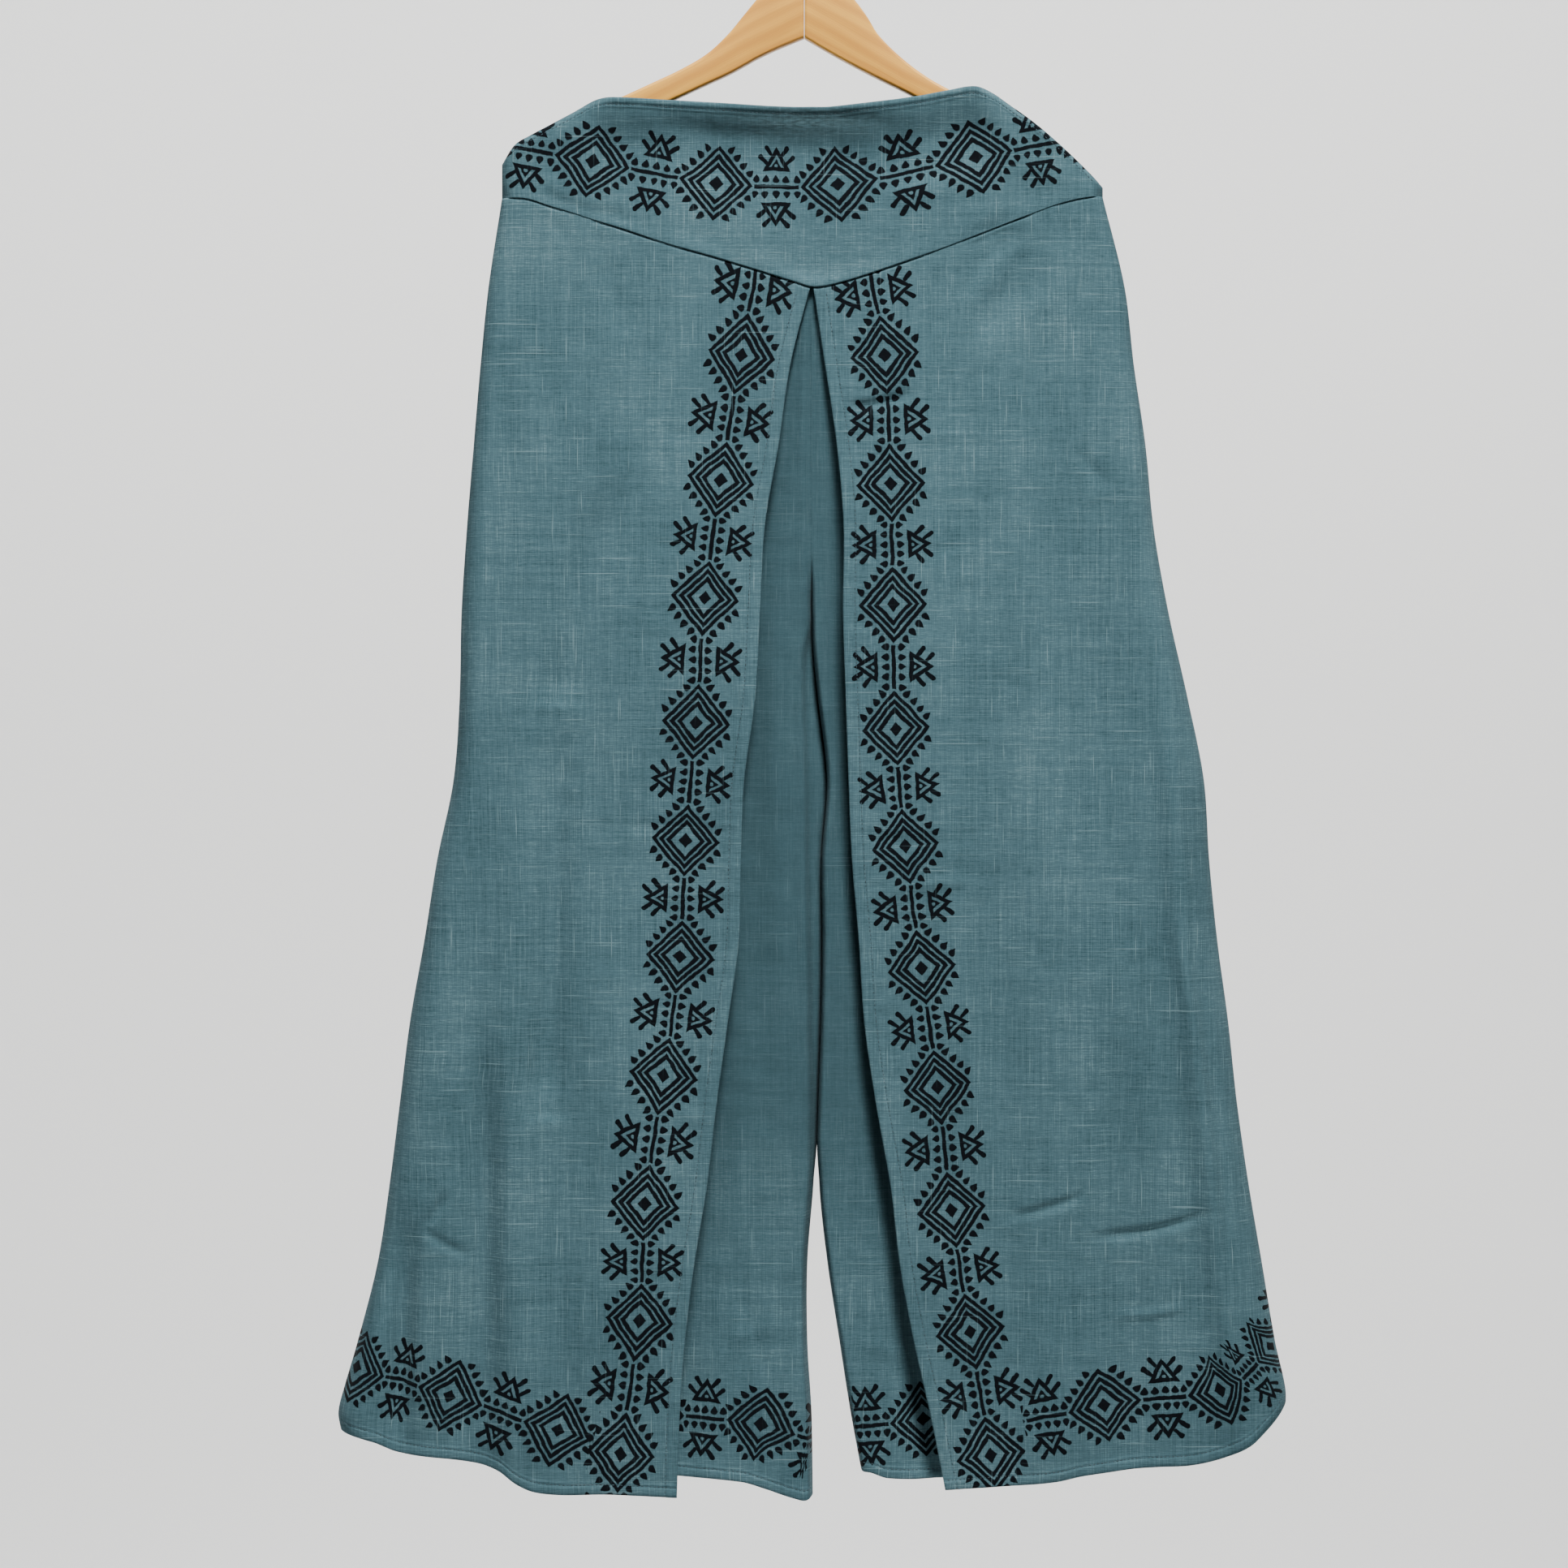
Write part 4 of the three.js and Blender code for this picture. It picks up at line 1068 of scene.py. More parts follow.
PANEL_CREASES = {
    "right": table(
        CREASE,
        (-152, -262, -134, -330, 3, 10, -1.3),
        (-216, -262, -206, -420, 4, 11, 1.2),
        (-295, -965, -300, -1130, 0, 8, -5.0),
        (-282, -960, -286, -1120, 0, 7, 1.6),
        (-190, -250, -150, -264, 1, 5, -0.8),
        (-126, -500, -150, -640, 5, 12, 1.4),
        (-96, -600, -118, -760, 4, 12, -1.3),
        (-30, -409, -110, -404, 3, 3.4, -0.7),
        (-40, -489, -120, -483, -3, 3.4, -0.6),
        (-52, -695, -150, -690, 3, 4, -0.7),
        (-56, -737, -124, -742, 2, 4, 0.7),
        (-283, -981, -264, -955, 1, 3.2, -1.9),
        (-283, -981, -247, -1001, 1, 3.2, -1.7),
        (-283, -981, -289, -1002, 0, 2.8, -2.0),
        (-224, -800, -221, -1075, 0, 12, 3.4),
        (-118, -960, -104, -1100, 3, 8, 1.1),
        (-168, -1060, -176, -1160, 3, 10, -1.3),
        (-232, -1100, -240, -1150, 2, 8, 1.5),
        (-208, -1120, -200, -1168, 2, 8, -1.6),
        (-322, -1060, -334, -1120, 3, 9, 1.2),
        (-130, -880, -70, -902, 3, 5, 0.6),
    ),
    "left": table(
        CREASE,
        (149, -254, 103, -296, 4, 11, -3.4),
        (166, -276, 124, -334, 4, 12, -3.0),
        (190, -262, 176, -330, 3, 12, 1.4),
        (196, -415, 218, -441, 2, 5, -1.3),
        (28, -384, 72, -374, 2, 3.4, -3.0),
        (36, -412, 120, -405, -3, 3.6, 0.6),
        (28, -489, 122, -483, 3, 3.8, -0.7),
        (34, -695, 112, -698, 3, 4, -0.7),
        (58, -735, 116, -729, -2, 3.6, 0.9),
        (262, -622, 295, -792, 5, 8, 1.6),
        (298, -885, 307, -942, 2, 6, 1.2),
        (267, -764, 296, -1000, -4, 5, 3.4),
        (275, -760, 305, -1010, -4, 4, -2.8),
        (283, -768, 314, -1050, -4, 5, 3.2),
        (148, -972, 200, -955, 1, 2.8, -2.2),
        (206, -986, 290, -968, 5, 2.8, -2.4),
        (225, -1044, 270, -1038, 2, 2.2, 1.7),
        (96, -700, 118, -900, 5, 14, 1.3),
        (74, -930, 100, -1090, 4, 10, -1.3),
        (150, -480, 176, -760, 6, 22, 1.6),
        (210, -520, 236, -800, 5, 18, -1.7),
        (296, -1080, 322, -1120, 3, 9, -1.2),
    ),
}
free_edge = {hand: smooth(FREE_EDGES, "z", hand) for hand in TURNS}
panel_hem = {hand: smooth(PANEL_HEMS[hand], "x", "z") for hand in TURNS}


def panel_face(hand):
    seed = {"right": 31, "left": 41}[hand]

    def stand(x, z):
        from_free = TURNS[hand] * (free_edge[hand](z) - x)
        below_seam = yoke_seam(x) - SEAM_GAP - z
        above_hem = z - panel_hem[hand](x)
        ease = PANEL_EASE["by"] * fade(-z, PANEL_EASE["low"], PANEL_EASE["high"])
        near_free = 1 - 0.7 * np.clip(from_free / PANEL_LIFT["reach"], 0, 1)
        lift = PANEL_LIFT[hand] * near_free * fade(-z, PANEL_LIFT["low"], PANEL_LIFT["high"])
        main = depth["front"](z) + LAYER + ease + lift + folds_at(FRONT_FOLDS, x, z)
        inside = np.clip(from_side(hand, x, z, 0) / 40, 0, 1)
        detail = (creases_at(PANEL_CREASES[hand], x, z) + rumple(x, z, seed)) * inside
        detail = detail + hem_relief(above_hem, PANEL_HEM) + pucker(x, above_hem - PANEL_HEM, 9, seed)
        detail = detail + hem_relief(from_free, FREE_HEM) + pucker(z, from_free - FREE_HEM, 10, seed + 1)
        detail = detail + pucker(x, below_seam, 9, seed + 2) * 1.4
        rim = SEAM_DIP["rise"] * bump_of(below_seam, SEAM_DIP["wide"])
        edge = roll(from_side(hand, x, z, 0), side_roll[hand](z) + LAYER)
        under = leg_faces[hand, "front"](x, z) + CLOTH + 0.35
        return np.maximum((main + detail + rim) * edge, under * np.minimum(1, 4 * edge))

    return stand


panel_faces = {hand: panel_face(hand) for hand in TURNS}
for hand, turn in TURNS.items():
    seam = lambda x: yoke_seam(x) - SEAM_GAP
    hem = panel_hem[hand]
    outer_top = side[hand](SIDE_TOP_Z)
    point = free_edge[hand](seam(CENTRE_X))
    corners = PANEL_HEMS[hand]
    outer_end, free_end = from_left(hand, 0, -1)
    side_edge = upright_edge(seam(outer_top), corners["z"][outer_end], side[hand])
    open_edge = upright_edge(seam(point), corners["z"][free_end], free_edge[hand])
    upper_edge = level_edge(*from_left(hand, outer_top, point), seam)
    lower_edge = level_edge(corners["x"][0], corners["x"][-1], hem)
    flat = between(upper_edge, lower_edge, *from_left(hand, side_edge, open_edge))
    columns = stations(PANEL_SIZE["wide"], *from_left(hand, "turned", "hem"))
    rows = stations(PANEL_SIZE["tall"], "seam", "hem")
    bands = {
        "Column": (*print_line(COLUMN_DIAMONDS, f"{hand}_x", f"{hand}_z", COLUMN_BLOCK), turn),
        "Hem": (*print_line(HEM_DIAMONDS[hand], "x", "z", HEM_BLOCK), 1),
    }
    name = f"{hand}_outer_panel"
    piece = cloth_shell(name, flat, panel_faces[hand], -1.0, columns, rows, bands)
    sizes = {
        "Column": {**COLUMN_BLOCK, "Seed": 20.0 + 5 * turn, "From": WHOLE_BAND},
        "Hem": {**HEM_BLOCK, "Seed": 30.0 + 5 * turn, "From": HEM_PRINT_FROM[hand]},
    }
    piece.data.materials.append(cotton(f"cotton_{name}", sizes, 40 * turn))
    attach(piece, "root")
    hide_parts(f"overlay_{hand}")

# Yokes. The top of the trousers, one piece in front and one behind, joined at the sides. The front one
# comes to a point over the opening. The waist is turned in and stitched 6.5 mm down, and it is open
# between the hanger's arms, on which both ends lie.
SHOULDER_ROLL = 5.0
WAIST_ENDS = {"right": -157.0, "left": 133.0, "run": 14.0}
BACK_WAIST_DROP = 4.0
WAIST_HEM = 6.5
SEAM_LAP = {"by": 0.7, "over": 0.25, "below": 3.0, "reach": 7.0}
YOKE_BLOCK = {"Repeat": 90.0, "Half along": 25.2, "Half across": 25.8}
YOKE_DIAMONDS = table(
    "number x z",
    (-1.9, -236, -189),
    (-1.5, -204, -196.5),
    (-1, -158.3, -204.6),
    (0, -68.5, -220.6),
    (1, 19.9, -221.5),
    (2, 120.7, -201.7),
    (2.5, 164.3, -193.3),
    (3.1, 222, -184),
)
YOKE_SIZE = {"wide": 440, "tall": 105}
WAIST_EDGE = {"rise": 5.2, "from": 2, "to": 36}
WAIST_HOLLOW = {"rise": -2.6, "below": 40, "wide": 24}
# Where the patch of rubbed ink and painted shade lies on the front yoke, and its size.
WAIST_SMEAR_AND_SHADE = {"x": -8.0, "z": -176.0, "wide": 110.0, "tall": 21.0}
YOKE_CREASES = {
    "front": table(
        CREASE,
        (-206, -233, -120, -256, -2, 7, -2.2),
        (-196, -216, -150, -240, 3, 8, 1.0),
        (-112, -176, -20, -186, 3, 8, -1.4),
        (-60, -172, 66, -178, -3, 6, -1.2),
        (20, -196, 70, -212, 3, 9, -1.2),
        (60, -230, 120, -214, 3, 9, 1.2),
        (-30, -240, -40, -276, 2, 4, -0.8),
        (150, -196, 188, -222, 3, 9, 1.0),
        (-170, -168, -196, -196, -3, 8, 1.2),
    ),
    "back": table(
        CREASE,
        (-196, -226, -118, -240, -2, 8, -1.8),
        (-90, -178, 20, -184, 3, 8, -1.3),
        (44, -200, 108, -214, 3, 9, 1.1),
        (110, -236, 190, -222, -2, 8, -1.6),
    ),
}


def on_arms(x):
    right = 1 - fade(x, WAIST_ENDS["right"] - WAIST_ENDS["run"], WAIST_ENDS["right"] + WAIST_ENDS["run"])
    left = fade(x, WAIST_ENDS["left"] - WAIST_ENDS["run"], WAIST_ENDS["left"] + WAIST_ENDS["run"])
    return np.clip(right + left, 0, 1)


def waist(face, x):
    drop = BACK_WAIST_DROP * (1 - on_arms(x)) if face == "back" else 0.0
    return yoke_top(x) - drop


def yoke_face(face):
    seed = {"front": 51, "back": 61}[face]
    ends = (YOKE["x"][0], YOKE["x"][-1])
    roll_in = SIDES["roll_right"][0] + (LAYER if face == "front" else 0)
    below = {hand: panel_faces[hand] if face == "front" else leg_faces[hand, face] for hand in TURNS}

    def stand(x, z):
        top = waist(face, x)
        seam = leg_seam(face, x)
        below_top = top - z
        above_seam = z - seam
        down = np.clip(below_top / (top - seam), 0, 1)
        over = lerp(1, roll(yoke_top(x) - z, SHOULDER_ROLL), on_arms(x))
        ended = roll(np.minimum(x - ends[0], ends[1] - x), roll_in)
        main = depth[face](z) + (LAYER * down if face == "front" else 0)
        free = 1 - on_arms(x)
        edge = WAIST_EDGE["rise"] * (1 - fade(below_top, WAIST_EDGE["from"], WAIST_EDGE["to"]))
        hollow = WAIST_HOLLOW["rise"] * bump_of(below_top - WAIST_HOLLOW["below"], WAIST_HOLLOW["wide"])
        lean = (edge + hollow) * free
        detail = creases_at(YOKE_CREASES[face], x, z) + rumple(x, z, seed, 0.8) + lean
        detail = detail + hem_relief(below_top, WAIST_HEM) + pucker(x, below_top - WAIST_HEM, 8, seed + 1)
        detail = detail + pucker(x, above_seam, 8, seed + 2)
        plain = (main + detail * np.clip(below_top / 9, 0.25, 1) ** on_arms(x)) * over * ended
        joined = seam - SEAM_GAP - SEAM_LAP["below"]
        level = np.where(x < CENTRE_X, below["right"](x, joined), below["left"](x, joined))
        lapped = (level + SEAM_LAP["over"]) * ended
        return lerp(plain, lapped, bump_of(above_seam, SEAM_LAP["reach"]))

    return stand


yoke_faces = {face: yoke_face(face) for face in FACINGS}
for face, facing in FACINGS.items():
    ends = (YOKE["x"][0], YOKE["x"][-1])
    top = lambda x, face=face: waist(face, x)
    low = lambda x, face=face: leg_seam(face, x) - SEAM_LAP["by"]
    flat = between(
        level_edge(*ends, top),
        level_edge(*ends, low),
        upright_edge(top(ends[0]), low(ends[0]), lambda z: np.full_like(z, YOKE["x"][0])),
        upright_edge(top(ends[1]), low(ends[1]), lambda z: np.full_like(z, YOKE["x"][-1])),
    )
    columns = stations(YOKE_SIZE["wide"], "turned", "turned")
    rows = stations(YOKE_SIZE["tall"], "hem", "seam")
    bands = {"Band": (*print_line(YOKE_DIAMONDS, "x", "z", YOKE_BLOCK), 1)}
    piece = cloth_shell(f"{face}_yoke", flat, yoke_faces[face], facing, columns, rows, bands)
    sizes = {"Band": {**YOKE_BLOCK, "Seed": 50.0 + facing, "From": WHOLE_BAND}}
    # Only the front yoke gets the patch of rubbed ink and painted shade below its waist.
    waist_smear_and_shade = WAIST_SMEAR_AND_SHADE if face == "front" else None
    piece.data.materials.append(cotton(f"cotton_{face}_yoke", sizes, 60 + facing, waist_smear_and_shade))
    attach(piece, "root")
    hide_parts(f"yoke_{face}")

# Stitching. Every hem is held by one row of lockstitch in thread of the cloth's colour, about four
# stitches to the centimetre. Each stitch is a short thread that dips into the cloth at both ends.
STITCH = {"pitch": 3.0, "length": 2.1, "thick": 0.75, "seed": 7}
STITCH_UNEVEN = {"least": (0.85, 0.85, 0.8), "most": (1.15, 1.15, 1.15)}
STITCH_PROUD = 0.05
ROW_ENDS = {"waist": 9, "inseam": 2, "leg side": 8, "panel side": 3, "free edge": 1.5}
FREE_ROW_TOP = -302
ROW_POINTS = {"waist": 420, "leg": 320, "panel": 300, "free edge": 900}
THREAD_COLOUR = (0.010, 0.026, 0.034)
THREAD_SHINE = 2.2


def object_noise(tree, scale, detail):
    """Noise read at the places of the object itself."""
    place = tree.nodes.new("ShaderNodeTexCoord").outputs["Object"]
    inputs = {"Vector": place, "Scale": scale, "Detail": detail}
    return Worked(tree, add_node(tree, "ShaderNodeTexNoise", inputs).outputs[0])


def thread_finish():
    material, tree, shader = new_material("sewing_thread", {"Roughness": 0.7})
    tone = object_noise(tree, 240.0, 2.0).eased(0.35, 0.75)
    paler = tuple(THREAD_SHINE * part for part in THREAD_COLOUR)
    tree.links.new(mixed(tree, tone, THREAD_COLOUR, paler), shader.inputs["Base Color"])
    return material


def stitch_rows():
    """The paths of all the rows, as lines of points just proud of the cloth, in millimetres."""
    rows = []

    def row(x, z, face, facing):
        y = facing * (np.maximum(face(x, z), SEAM_GAP / 2) + STITCH_PROUD)
        rows.append(np.column_stack([x, y, z]))

    for face, facing in FACINGS.items():
        end = ROW_ENDS["waist"]
        x = np.linspace(YOKE["x"][0] + end, YOKE["x"][-1] - end, ROW_POINTS["waist"])
        row(x, waist(face, x) - WAIST_HEM + STITCH_INSET, yoke_faces[face], facing)
        for hand, turn in TURNS.items():
            low = leg_hem[face]
            inner = inseam(hand, low(INNER_HEM_X[hand])) - turn * ROW_ENDS["inseam"]
            outer = side[hand](LEG_HEMS[face][from_left(hand, 0, -1)[0]]) + turn * ROW_ENDS["leg side"]
            x = np.linspace(outer, inner, ROW_POINTS["leg"])
            row(x, low(x) + LEG_HEM - STITCH_INSET, leg_faces[hand, face], facing)
    for hand, turn in TURNS.items():
        corners = PANEL_HEMS[hand]
        outer_end, free_end = from_left(hand, 0, -1)
        outer = corners["x"][outer_end] + turn * ROW_ENDS["panel side"]
        x = np.linspace(outer, corners["x"][free_end] - turn * ROW_ENDS["free edge"], ROW_POINTS["panel"])
        row(x, panel_hem[hand](x) + PANEL_HEM - STITCH_INSET, panel_faces[hand], -1.0)
        foot = corners["z"][free_end] + ROW_ENDS["free edge"]
        z = np.linspace(FREE_ROW_TOP, foot, ROW_POINTS["free edge"])
        row(free_edge[hand](z) - turn * (FREE_HEM - STITCH_INSET), z, panel_faces[hand], -1.0)
    return rows


def stitch_tree(thread):
    """Evenly spaced short threads along each row, turned along it and slightly uneven."""
    tree = bpy.data.node_groups.new("Stitches along a row", "GeometryNodeTree")
    tree.interface.new_socket(name="Rows", in_out="INPUT", socket_type="NodeSocketGeometry")
    for label in ("Pitch", "Length", "Thickness"):
        tree.interface.new_socket(name=label, in_out="INPUT", socket_type="NodeSocketFloat")
    tree.interface.new_socket(name="Seed", in_out="INPUT", socket_type="NodeSocketInt")
    tree.interface.new_socket(name="Stitches", in_out="OUTPUT", socket_type="NodeSocketGeometry")
    given = tree.nodes.new("NodeGroupInput").outputs
    taken = tree.nodes.new("NodeGroupOutput").inputs

    def add(kind, inputs, **settings):
        return add_node(tree, kind, inputs, **settings).outputs[0]

    curve = add("GeometryNodeMeshToCurve", {"Mesh": given["Rows"]})
    spaced = add("GeometryNodeResampleCurve", {"Curve": curve, "Length": given["Pitch"]}, mode="LENGTH")
    tangent = add("GeometryNodeInputTangent", {})
    turned = add("FunctionNodeAlignRotationToVector", {"Vector": tangent}, axis="Z")
    stitch = add("GeometryNodeMeshIcoSphere", {"Radius": 1.0, "Subdivisions": 1})
    size = add("ShaderNodeCombineXYZ", {0: given["Thickness"], 1: given["Thickness"], 2: given["Length"]})
    half = add("ShaderNodeVectorMath", {0: size, "Scale": 0.5}, operation="SCALE")
    limits = {0: STITCH_UNEVEN["least"], 1: STITCH_UNEVEN["most"], "Seed": given["Seed"]}
    uneven = add("FunctionNodeRandomValue", limits, data_type="FLOAT_VECTOR")
    scale = add("ShaderNodeVectorMath", {0: half, 1: uneven}, operation="MULTIPLY")
    stitched = {"Points": spaced, "Instance": stitch, "Rotation": turned, "Scale": scale}
    placed = add("GeometryNodeInstanceOnPoints", stitched)
    real = add("GeometryNodeRealizeInstances", {0: placed})
    finished = add("GeometryNodeSetMaterial", {"Geometry": real, "Material": thread})
    tree.links.new(finished, taken[0])
    return tree


def grown(obj, tree, values):
    """The plain mesh that a tree of Geometry Nodes makes from an object, under the same name."""
    modifier = obj.modifiers.new("Grown", "NODES")
    modifier.node_group = tree
    for socket in tree.interface.items_tree:
        if socket.in_out == "INPUT" and socket.name in values:
            modifier[socket.identifier] = values[socket.name]
    seen = bpy.context.evaluated_depsgraph_get()
    mesh = bpy.data.meshes.new_from_object(obj.evaluated_get(seen), depsgraph=seen)
    obj.modifiers.remove(modifier)
    obj.data = mesh
    return obj


def sew():
    points = []
    edges = []
    for row in stitch_rows():
        start = len(points)
        points.extend(row * MM)
        edges.extend((start + k, start + k + 1) for k in range(len(row) - 1))
    mesh = bpy.data.meshes.new("hem_stitching")
    mesh.from_pydata(points, edges, [])
    sizes = {"Pitch": STITCH["pitch"], "Length": STITCH["length"], "Thickness": STITCH["thick"]}
    values = {label: size * MM for label, size in sizes.items()}
    values["Seed"] = STITCH["seed"]
    stitches = grown(add_object("hem_stitching", mesh), stitch_tree(thread_finish()), values)
    stitches.data.shade_smooth()
    return stitches


stitches = sew()
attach(stitches, "root")

# Hanger arms. Two shaped arms sawn from pale softwood, glued in a plain butt joint under the hook, with
# rounded edges and a satin lacquer. The trousers' waist hangs over both.
WOOD_THICK = 11.0
WOOD_ROUND = 2.6
MOST_ROUND = 0.95
ARM_TIP = 4.5
TIP_SHARE = {"tall": 0.04, "thick": 0.35}
ARM_STEPS = {"body": 90, "tip": 9, "corner": 6}
JOINT_X = -4.4
ARMS = {
    "right": table(
        "x top bottom",
        (-4.4, -70, -114.3),
        (-19.8, -70.8, -120.6),
        (-29.8, -75.9, -125),
        (-40.4, -87.7, -130.2),
        (-46.9, -95.6, -134),
        (-59.9, -111.3, -141),
        (-75.2, -125.5, -148),
        (-94, -136.7, -156.7),
        (-113.6, -146, -165.6),
        (-138.4, -157.3, -177),
        (-156.6, -165, -185.2),
        (-174.9, -172.4, -193.4),
        (-190, -180, -200.7),
        (-205, -188.3, -208.4),
        (-212.5, -196, -211.5),
    ),
    "left": table(
        "x top bottom",
        (-4.4, -70, -114.3),
        (10.9, -70.8, -123.3),
        (22.1, -75.9, -129.6),
        (33.3, -87.7, -135.6),
        (41.6, -99, -139.9),
        (49.3, -111.5, -143.8),
        (67, -129, -152.5),
        (85.8, -143, -162),
        (103, -152.6, -171),
        (133, -168, -186.9),
        (163, -184, -204),
        (179, -193.6, -214.6),
        (194, -206, -225.5),
        (201.5, -215.5, -230),
    ),
}
WOOD_LIGHT = (0.74, 0.37, 0.048)
WOOD_DARK = (0.56, 0.245, 0.032)
LACQUER = {"Roughness": 0.42, "Coat Weight": 0.25, "Coat Roughness": 0.3}
GRAIN_BUMP = {"Strength": 0.25, "Distance": 0.0003}
WOOD_SLOPE = {"right": math.radians(27), "left": math.radians(-29)}


def outward_faces(mesh):
    """Turns every face of a closed mesh outwards."""
    solid = bmesh.new()
    solid.from_mesh(mesh)
    bmesh.ops.recalc_face_normals(solid, faces=solid.faces)
    solid.to_mesh(mesh)
    solid.free()


def ring_mesh(name, points, sides, closed):
    """A mesh over rings of points that follow one another, with or without its two ends."""
    faces = []
    if closed:
        faces = [tuple(range(sides)), tuple(range(len(points) - sides, len(points)))[::-1]]
    for start in range(0, len(points) - sides, sides):
        for j in range(sides):
            a = start + j
            b = start + (j + 1) % sides
            faces.append((a, b, b + sides, a + sides))
    mesh = bpy.data.meshes.new(name)
    mesh.from_pydata(points, [], faces)
    mesh.shade_smooth()
    if closed:
        outward_faces(mesh)
    return mesh


def arm_mesh(hand):
    """An arm as round-edged sections across it, closed at the joint and rounded off at the tip."""
    rows = ARMS[hand]
    top = smooth(rows, "x", "top")
    bottom = smooth(rows, "x", "bottom")
    outward = np.sign(rows["x"][-1] - rows["x"][0])
    start = rows["x"][0] + outward * SEAM_GAP / 2
    body = np.linspace(start, rows["x"][-1], ARM_STEPS["body"])
    rounded = np.linspace(0, math.pi / 2, ARM_STEPS["tip"])[1:]
    shrink = np.concatenate([np.ones(ARM_STEPS["body"]), np.cos(rounded)])
    xs = np.concatenate([body, rows["x"][-1] + outward * ARM_TIP * np.sin(rounded)])
    corners = np.linspace(0, math.pi / 2, ARM_STEPS["corner"])
    points = []
    for x, share in zip(xs, np.maximum(shrink, TIP_SHARE["tall"])):
        middle = (top(x) + bottom(x)) / 2
        half_z = (top(x) - bottom(x)) / 2 * share
        half_y = WOOD_THICK / 2 * lerp(TIP_SHARE["thick"], 1, share)
        bend = min(WOOD_ROUND, half_z * MOST_ROUND, half_y * MOST_ROUND)
        for quarter, (sign_y, sign_z) in enumerate(((1, 1), (-1, 1), (-1, -1), (1, -1))):
            for angle in corners + quarter * math.pi / 2:
                y = sign_y * (half_y - bend) + bend * math.cos(angle)
                z = middle + sign_z * (half_z - bend) + bend * math.sin(angle)
                points.append((x * MM, y * MM, z * MM))
    return ring_mesh(f"{hand}_hanger_arm", points, 4 * len(corners), closed=True)


def pale_wood(name, slope):
    """Straight pine grain along the arm: fine lines, wider growth rings and a few darker flecks."""
    material, tree, shader = new_material(name, LACQUER)
    place = tree.nodes.new("ShaderNodeTexCoord").outputs["Object"]
    turned = add_node(tree, "ShaderNodeMapping", {"Vector": place, "Rotation": (0.0, slope, 0.0)})
    split = add_node(tree, "ShaderNodeSeparateXYZ", {0: turned.outputs[0]})
    along, deep, up = (Worked(tree, split.outputs[k]) for k in range(3))
    waver = grain_noise(tree, along * 9, up * 30, 0.3, 2.0)
    rings = ((up + deep * 0.35) * 620 + waver * 7).join("SINE")
    fibre = grain_noise(tree, along * 22, up * 1500 + deep * 900, 1.7, 3.0, 0.6)
    cloud = grain_noise(tree, along * 14, up * 60, 4.1, 2.0)
    tone = rings * 0.16 + fibre * 0.5 + cloud * 0.45
    colour = mixed(tree, tone.eased(0.2, 0.85), WOOD_DARK, WOOD_LIGHT)
    tree.links.new(colour, shader.inputs["Base Color"])
    add_bump(tree, shader, fibre, GRAIN_BUMP)
    return material


for hand in TURNS:
    arm = add_object(f"{hand}_hanger_arm", arm_mesh(hand))
    arm.data.materials.append(pale_wood(f"pale_wood_{hand}", WOOD_SLOPE[hand]))
    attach(arm, "root")
    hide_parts(f"hanger_arm_{hand}")

# Hook. Plated steel wire, screwed into the top of the wood, swept aside and bent round over the middle,
# with its end rounded off.
WIRE = 3.4
WIRE_END = 0.15
HOOK_RADIUS = 18.0
HOOK_STEPS = {"bend": 17, "length": 150, "round": 20, "end": 4}
HOOK_BEND = (-58.0, 205.0)
WOOD_TOP = -70.0
STEM_RISE = (0.0, 8.0, 16.0)
STEM_SWEEP = {"x": 1.5, "rise": 25.0}
STEEL = (0.60, 0.60, 0.61)
STEEL_DULLED = 0.72


def hook_mesh():
    """The wire as rings of points along a smooth path."""
    centre = WIRE / 2 - HOOK_RADIUS
    path = [(JOINT_X, WOOD_TOP + SEAM_GAP + rise) for rise in STEM_RISE]
    path.append((JOINT_X + STEM_SWEEP["x"], WOOD_TOP + STEM_SWEEP["rise"]))
    for angle in np.radians(np.linspace(*HOOK_BEND, HOOK_STEPS["bend"])):
        path.append((HOOK_RADIUS * math.cos(angle), centre + HOOK_RADIUS * math.sin(angle)))
    knots = np.array(path)
    run = np.concatenate([[0], np.cumsum(np.linalg.norm(np.diff(knots, axis=0), axis=1))])
    route = {"run": run, "x": knots[:, 0], "z": knots[:, 1]}
    at = np.linspace(0, run[-1], HOOK_STEPS["length"])
    line = np.column_stack([smooth(route, "run", "x")(at), smooth(route, "run", "z")(at)])
    tangent = np.gradient(line, axis=0)
    tangent /= np.linalg.norm(tangent, axis=1)[:, None]
    radius = np.full(len(line), WIRE / 2)
    ends = np.cos(np.linspace(0, math.pi / 2, HOOK_STEPS["end"] + 1)[1:])
    radius[-HOOK_STEPS["end"] :] *= np.maximum(ends, WIRE_END)
    points = []
    for (x, z), (along_x, along_z), r in zip(line, tangent, radius):
        for turn in np.linspace(0, 2 * math.pi, HOOK_STEPS["round"], endpoint=False):
            out = r * math.cos(turn)
            points.append(((x - along_z * out) * MM, r * math.sin(turn) * MM, (z + along_x * out) * MM))
    return ring_mesh("hook_wire", points, HOOK_STEPS["round"], closed=True)


def plated_steel():
    material, tree, shader = new_material("plated_steel_wire", {"Metallic": 1.0})
    tone = object_noise(tree, 160.0, 4.0)
    duller = tuple(STEEL_DULLED * part for part in STEEL)
    tree.links.new(mixed(tree, tone.eased(0.3, 0.7), duller, STEEL), shader.inputs["Base Color"])
    tree.links.new(tone.eased(0.3, 0.75, 0.2, 0.38).socket, shader.inputs["Roughness"])
    return material


hook = add_object("hook_wire", hook_mesh())
hook.data.materials.append(plated_steel())
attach(hook, "root")
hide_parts("hanger_hook")

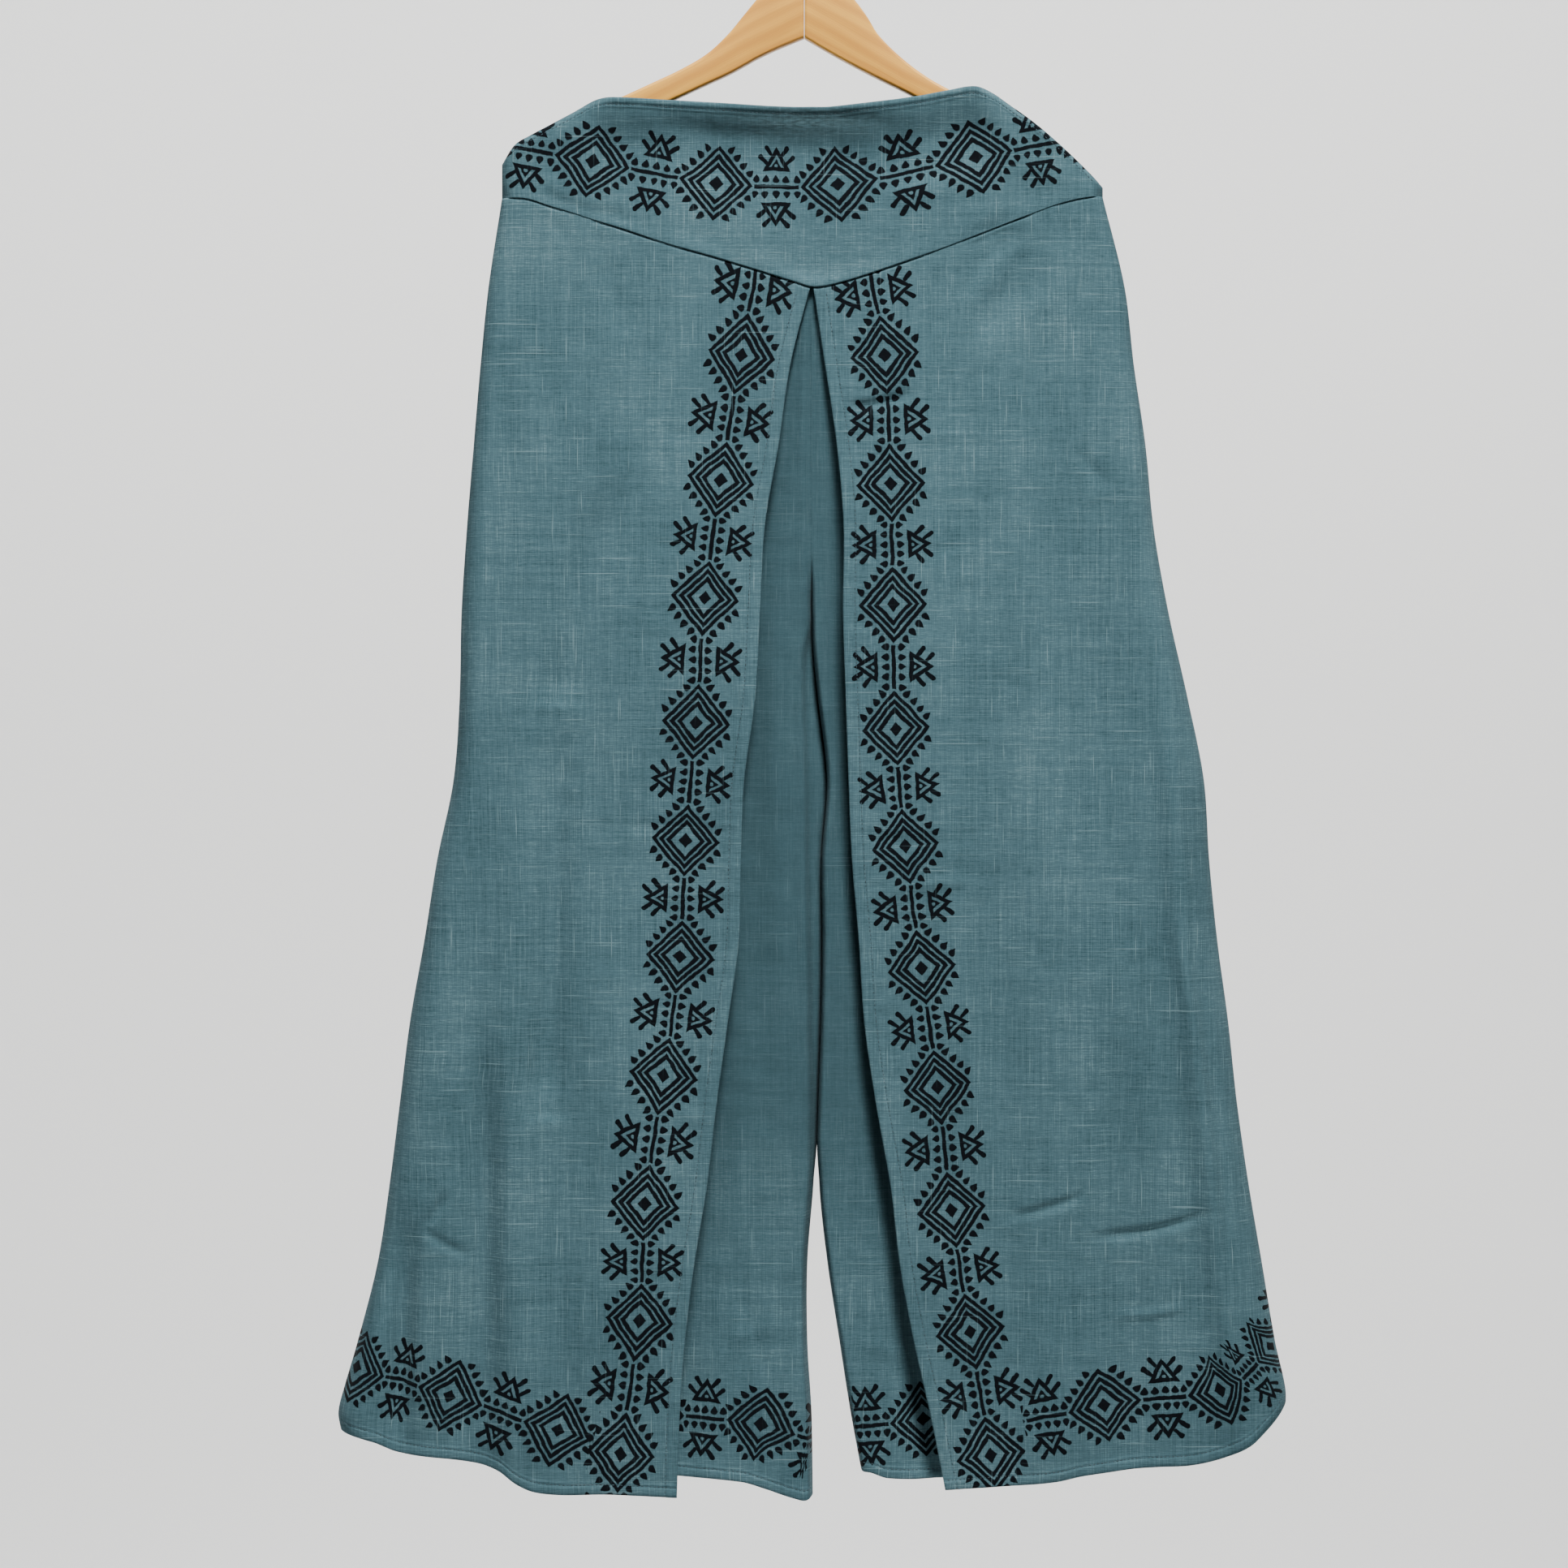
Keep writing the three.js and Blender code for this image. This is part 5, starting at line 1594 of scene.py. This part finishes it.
# Studio. A pale floor that curves up into an all-round wall, a soft lamp from above in front, a weak one
# from the left and one that washes the wall, and the camera in front, raised a little, as in the photograph.
FLOOR_Z = -1.9
ROOM_RADIUS = 4.2
FLOOR_FLAT = 2.9
WALL_TOP = 1.6
ROOM_STEPS = {"floor": 6, "curve": 14, "round": 96}
PLASTER = {"Base Color": (0.78, 0.78, 0.77, 1.0), "Roughness": 0.95}
MIDDLE = (0.0, 0.0, -0.65)
SKY = {"Color": (0.93, 0.96, 1.0, 1.0), "Strength": 0.15}
PICTURE_CENTRE = (-0.0192, -0.6576)
CAMERA_DISTANCE = 3.2
CAMERA_NOD = math.radians(1.07)
CLOTH_FRONT_Y = -0.021
PICTURE_WIDTH = 1.140
SENSOR = 36.0


def room():
    curve = ROOM_RADIUS - FLOOR_FLAT
    rings = ROOM_STEPS["floor"]
    profile = [(FLOOR_FLAT * k / rings, FLOOR_Z) for k in range(rings + 1)]
    for angle in np.linspace(0, math.pi / 2, ROOM_STEPS["curve"])[1:]:
        profile.append((FLOOR_FLAT + curve * math.sin(angle), FLOOR_Z + curve * (1 - math.cos(angle))))
    profile.append((ROOM_RADIUS, WALL_TOP))
    points = []
    for radius, z in profile:
        for turn in np.linspace(0, 2 * math.pi, ROOM_STEPS["round"], endpoint=False):
            points.append((radius * math.cos(turn), radius * math.sin(turn), z))
    return ring_mesh("floor_and_wall", points, ROOM_STEPS["round"], closed=False)


backdrop = add_object("floor_and_wall", room())
backdrop.data.materials.append(new_material("pale_plaster", PLASTER)[0])


def soft_light(name, place, target, size, power, colour, spread=180):
    light = bpy.data.lights.new(name, "AREA")
    light.shape = "DISK"
    light.size = size
    light.energy = power
    light.color = colour
    light.spread = math.radians(spread)
    lamp = add_object(name, light)
    away = np.array(place) - np.array(target)
    yaw = math.atan2(away[1], away[0]) + math.pi / 2
    pitch = math.atan2(math.hypot(away[0], away[1]), away[2])
    lamp.location = place
    lamp.rotation_euler = (pitch, 0.0, yaw)


soft_light("Daylight", (0.45, -2.0, 3.5), MIDDLE, 1.2, 37, (1.0, 0.985, 0.96), 40)
soft_light("Left light", (-2.6, -1.8, 0.6), MIDDLE, 1.8, 9, (0.94, 0.97, 1.0))
soft_light("Wall light", (0.0, 1.2, 1.4), (0.0, 4.0, -0.6), 2.4, 215, (1.0, 1.0, 1.0))
world = bpy.data.worlds.new("Pale daylight")
world.use_nodes = True
for label, value in SKY.items():
    world.node_tree.nodes["Background"].inputs[label].default_value = value
bpy.context.scene.world = world

lens = bpy.data.cameras.new("Camera")
lens.sensor_width = SENSOR
lens.lens = SENSOR * CAMERA_DISTANCE / PICTURE_WIDTH
camera = add_object("Camera", lens)
back = CAMERA_DISTANCE * math.cos(CAMERA_NOD)
up = CAMERA_DISTANCE * math.sin(CAMERA_NOD)
camera.location = (PICTURE_CENTRE[0], CLOTH_FRONT_Y - back, PICTURE_CENTRE[1] + up)
camera.rotation_euler = (math.pi / 2 - CAMERA_NOD, 0.0, 0.0)
bpy.context.scene.camera = camera
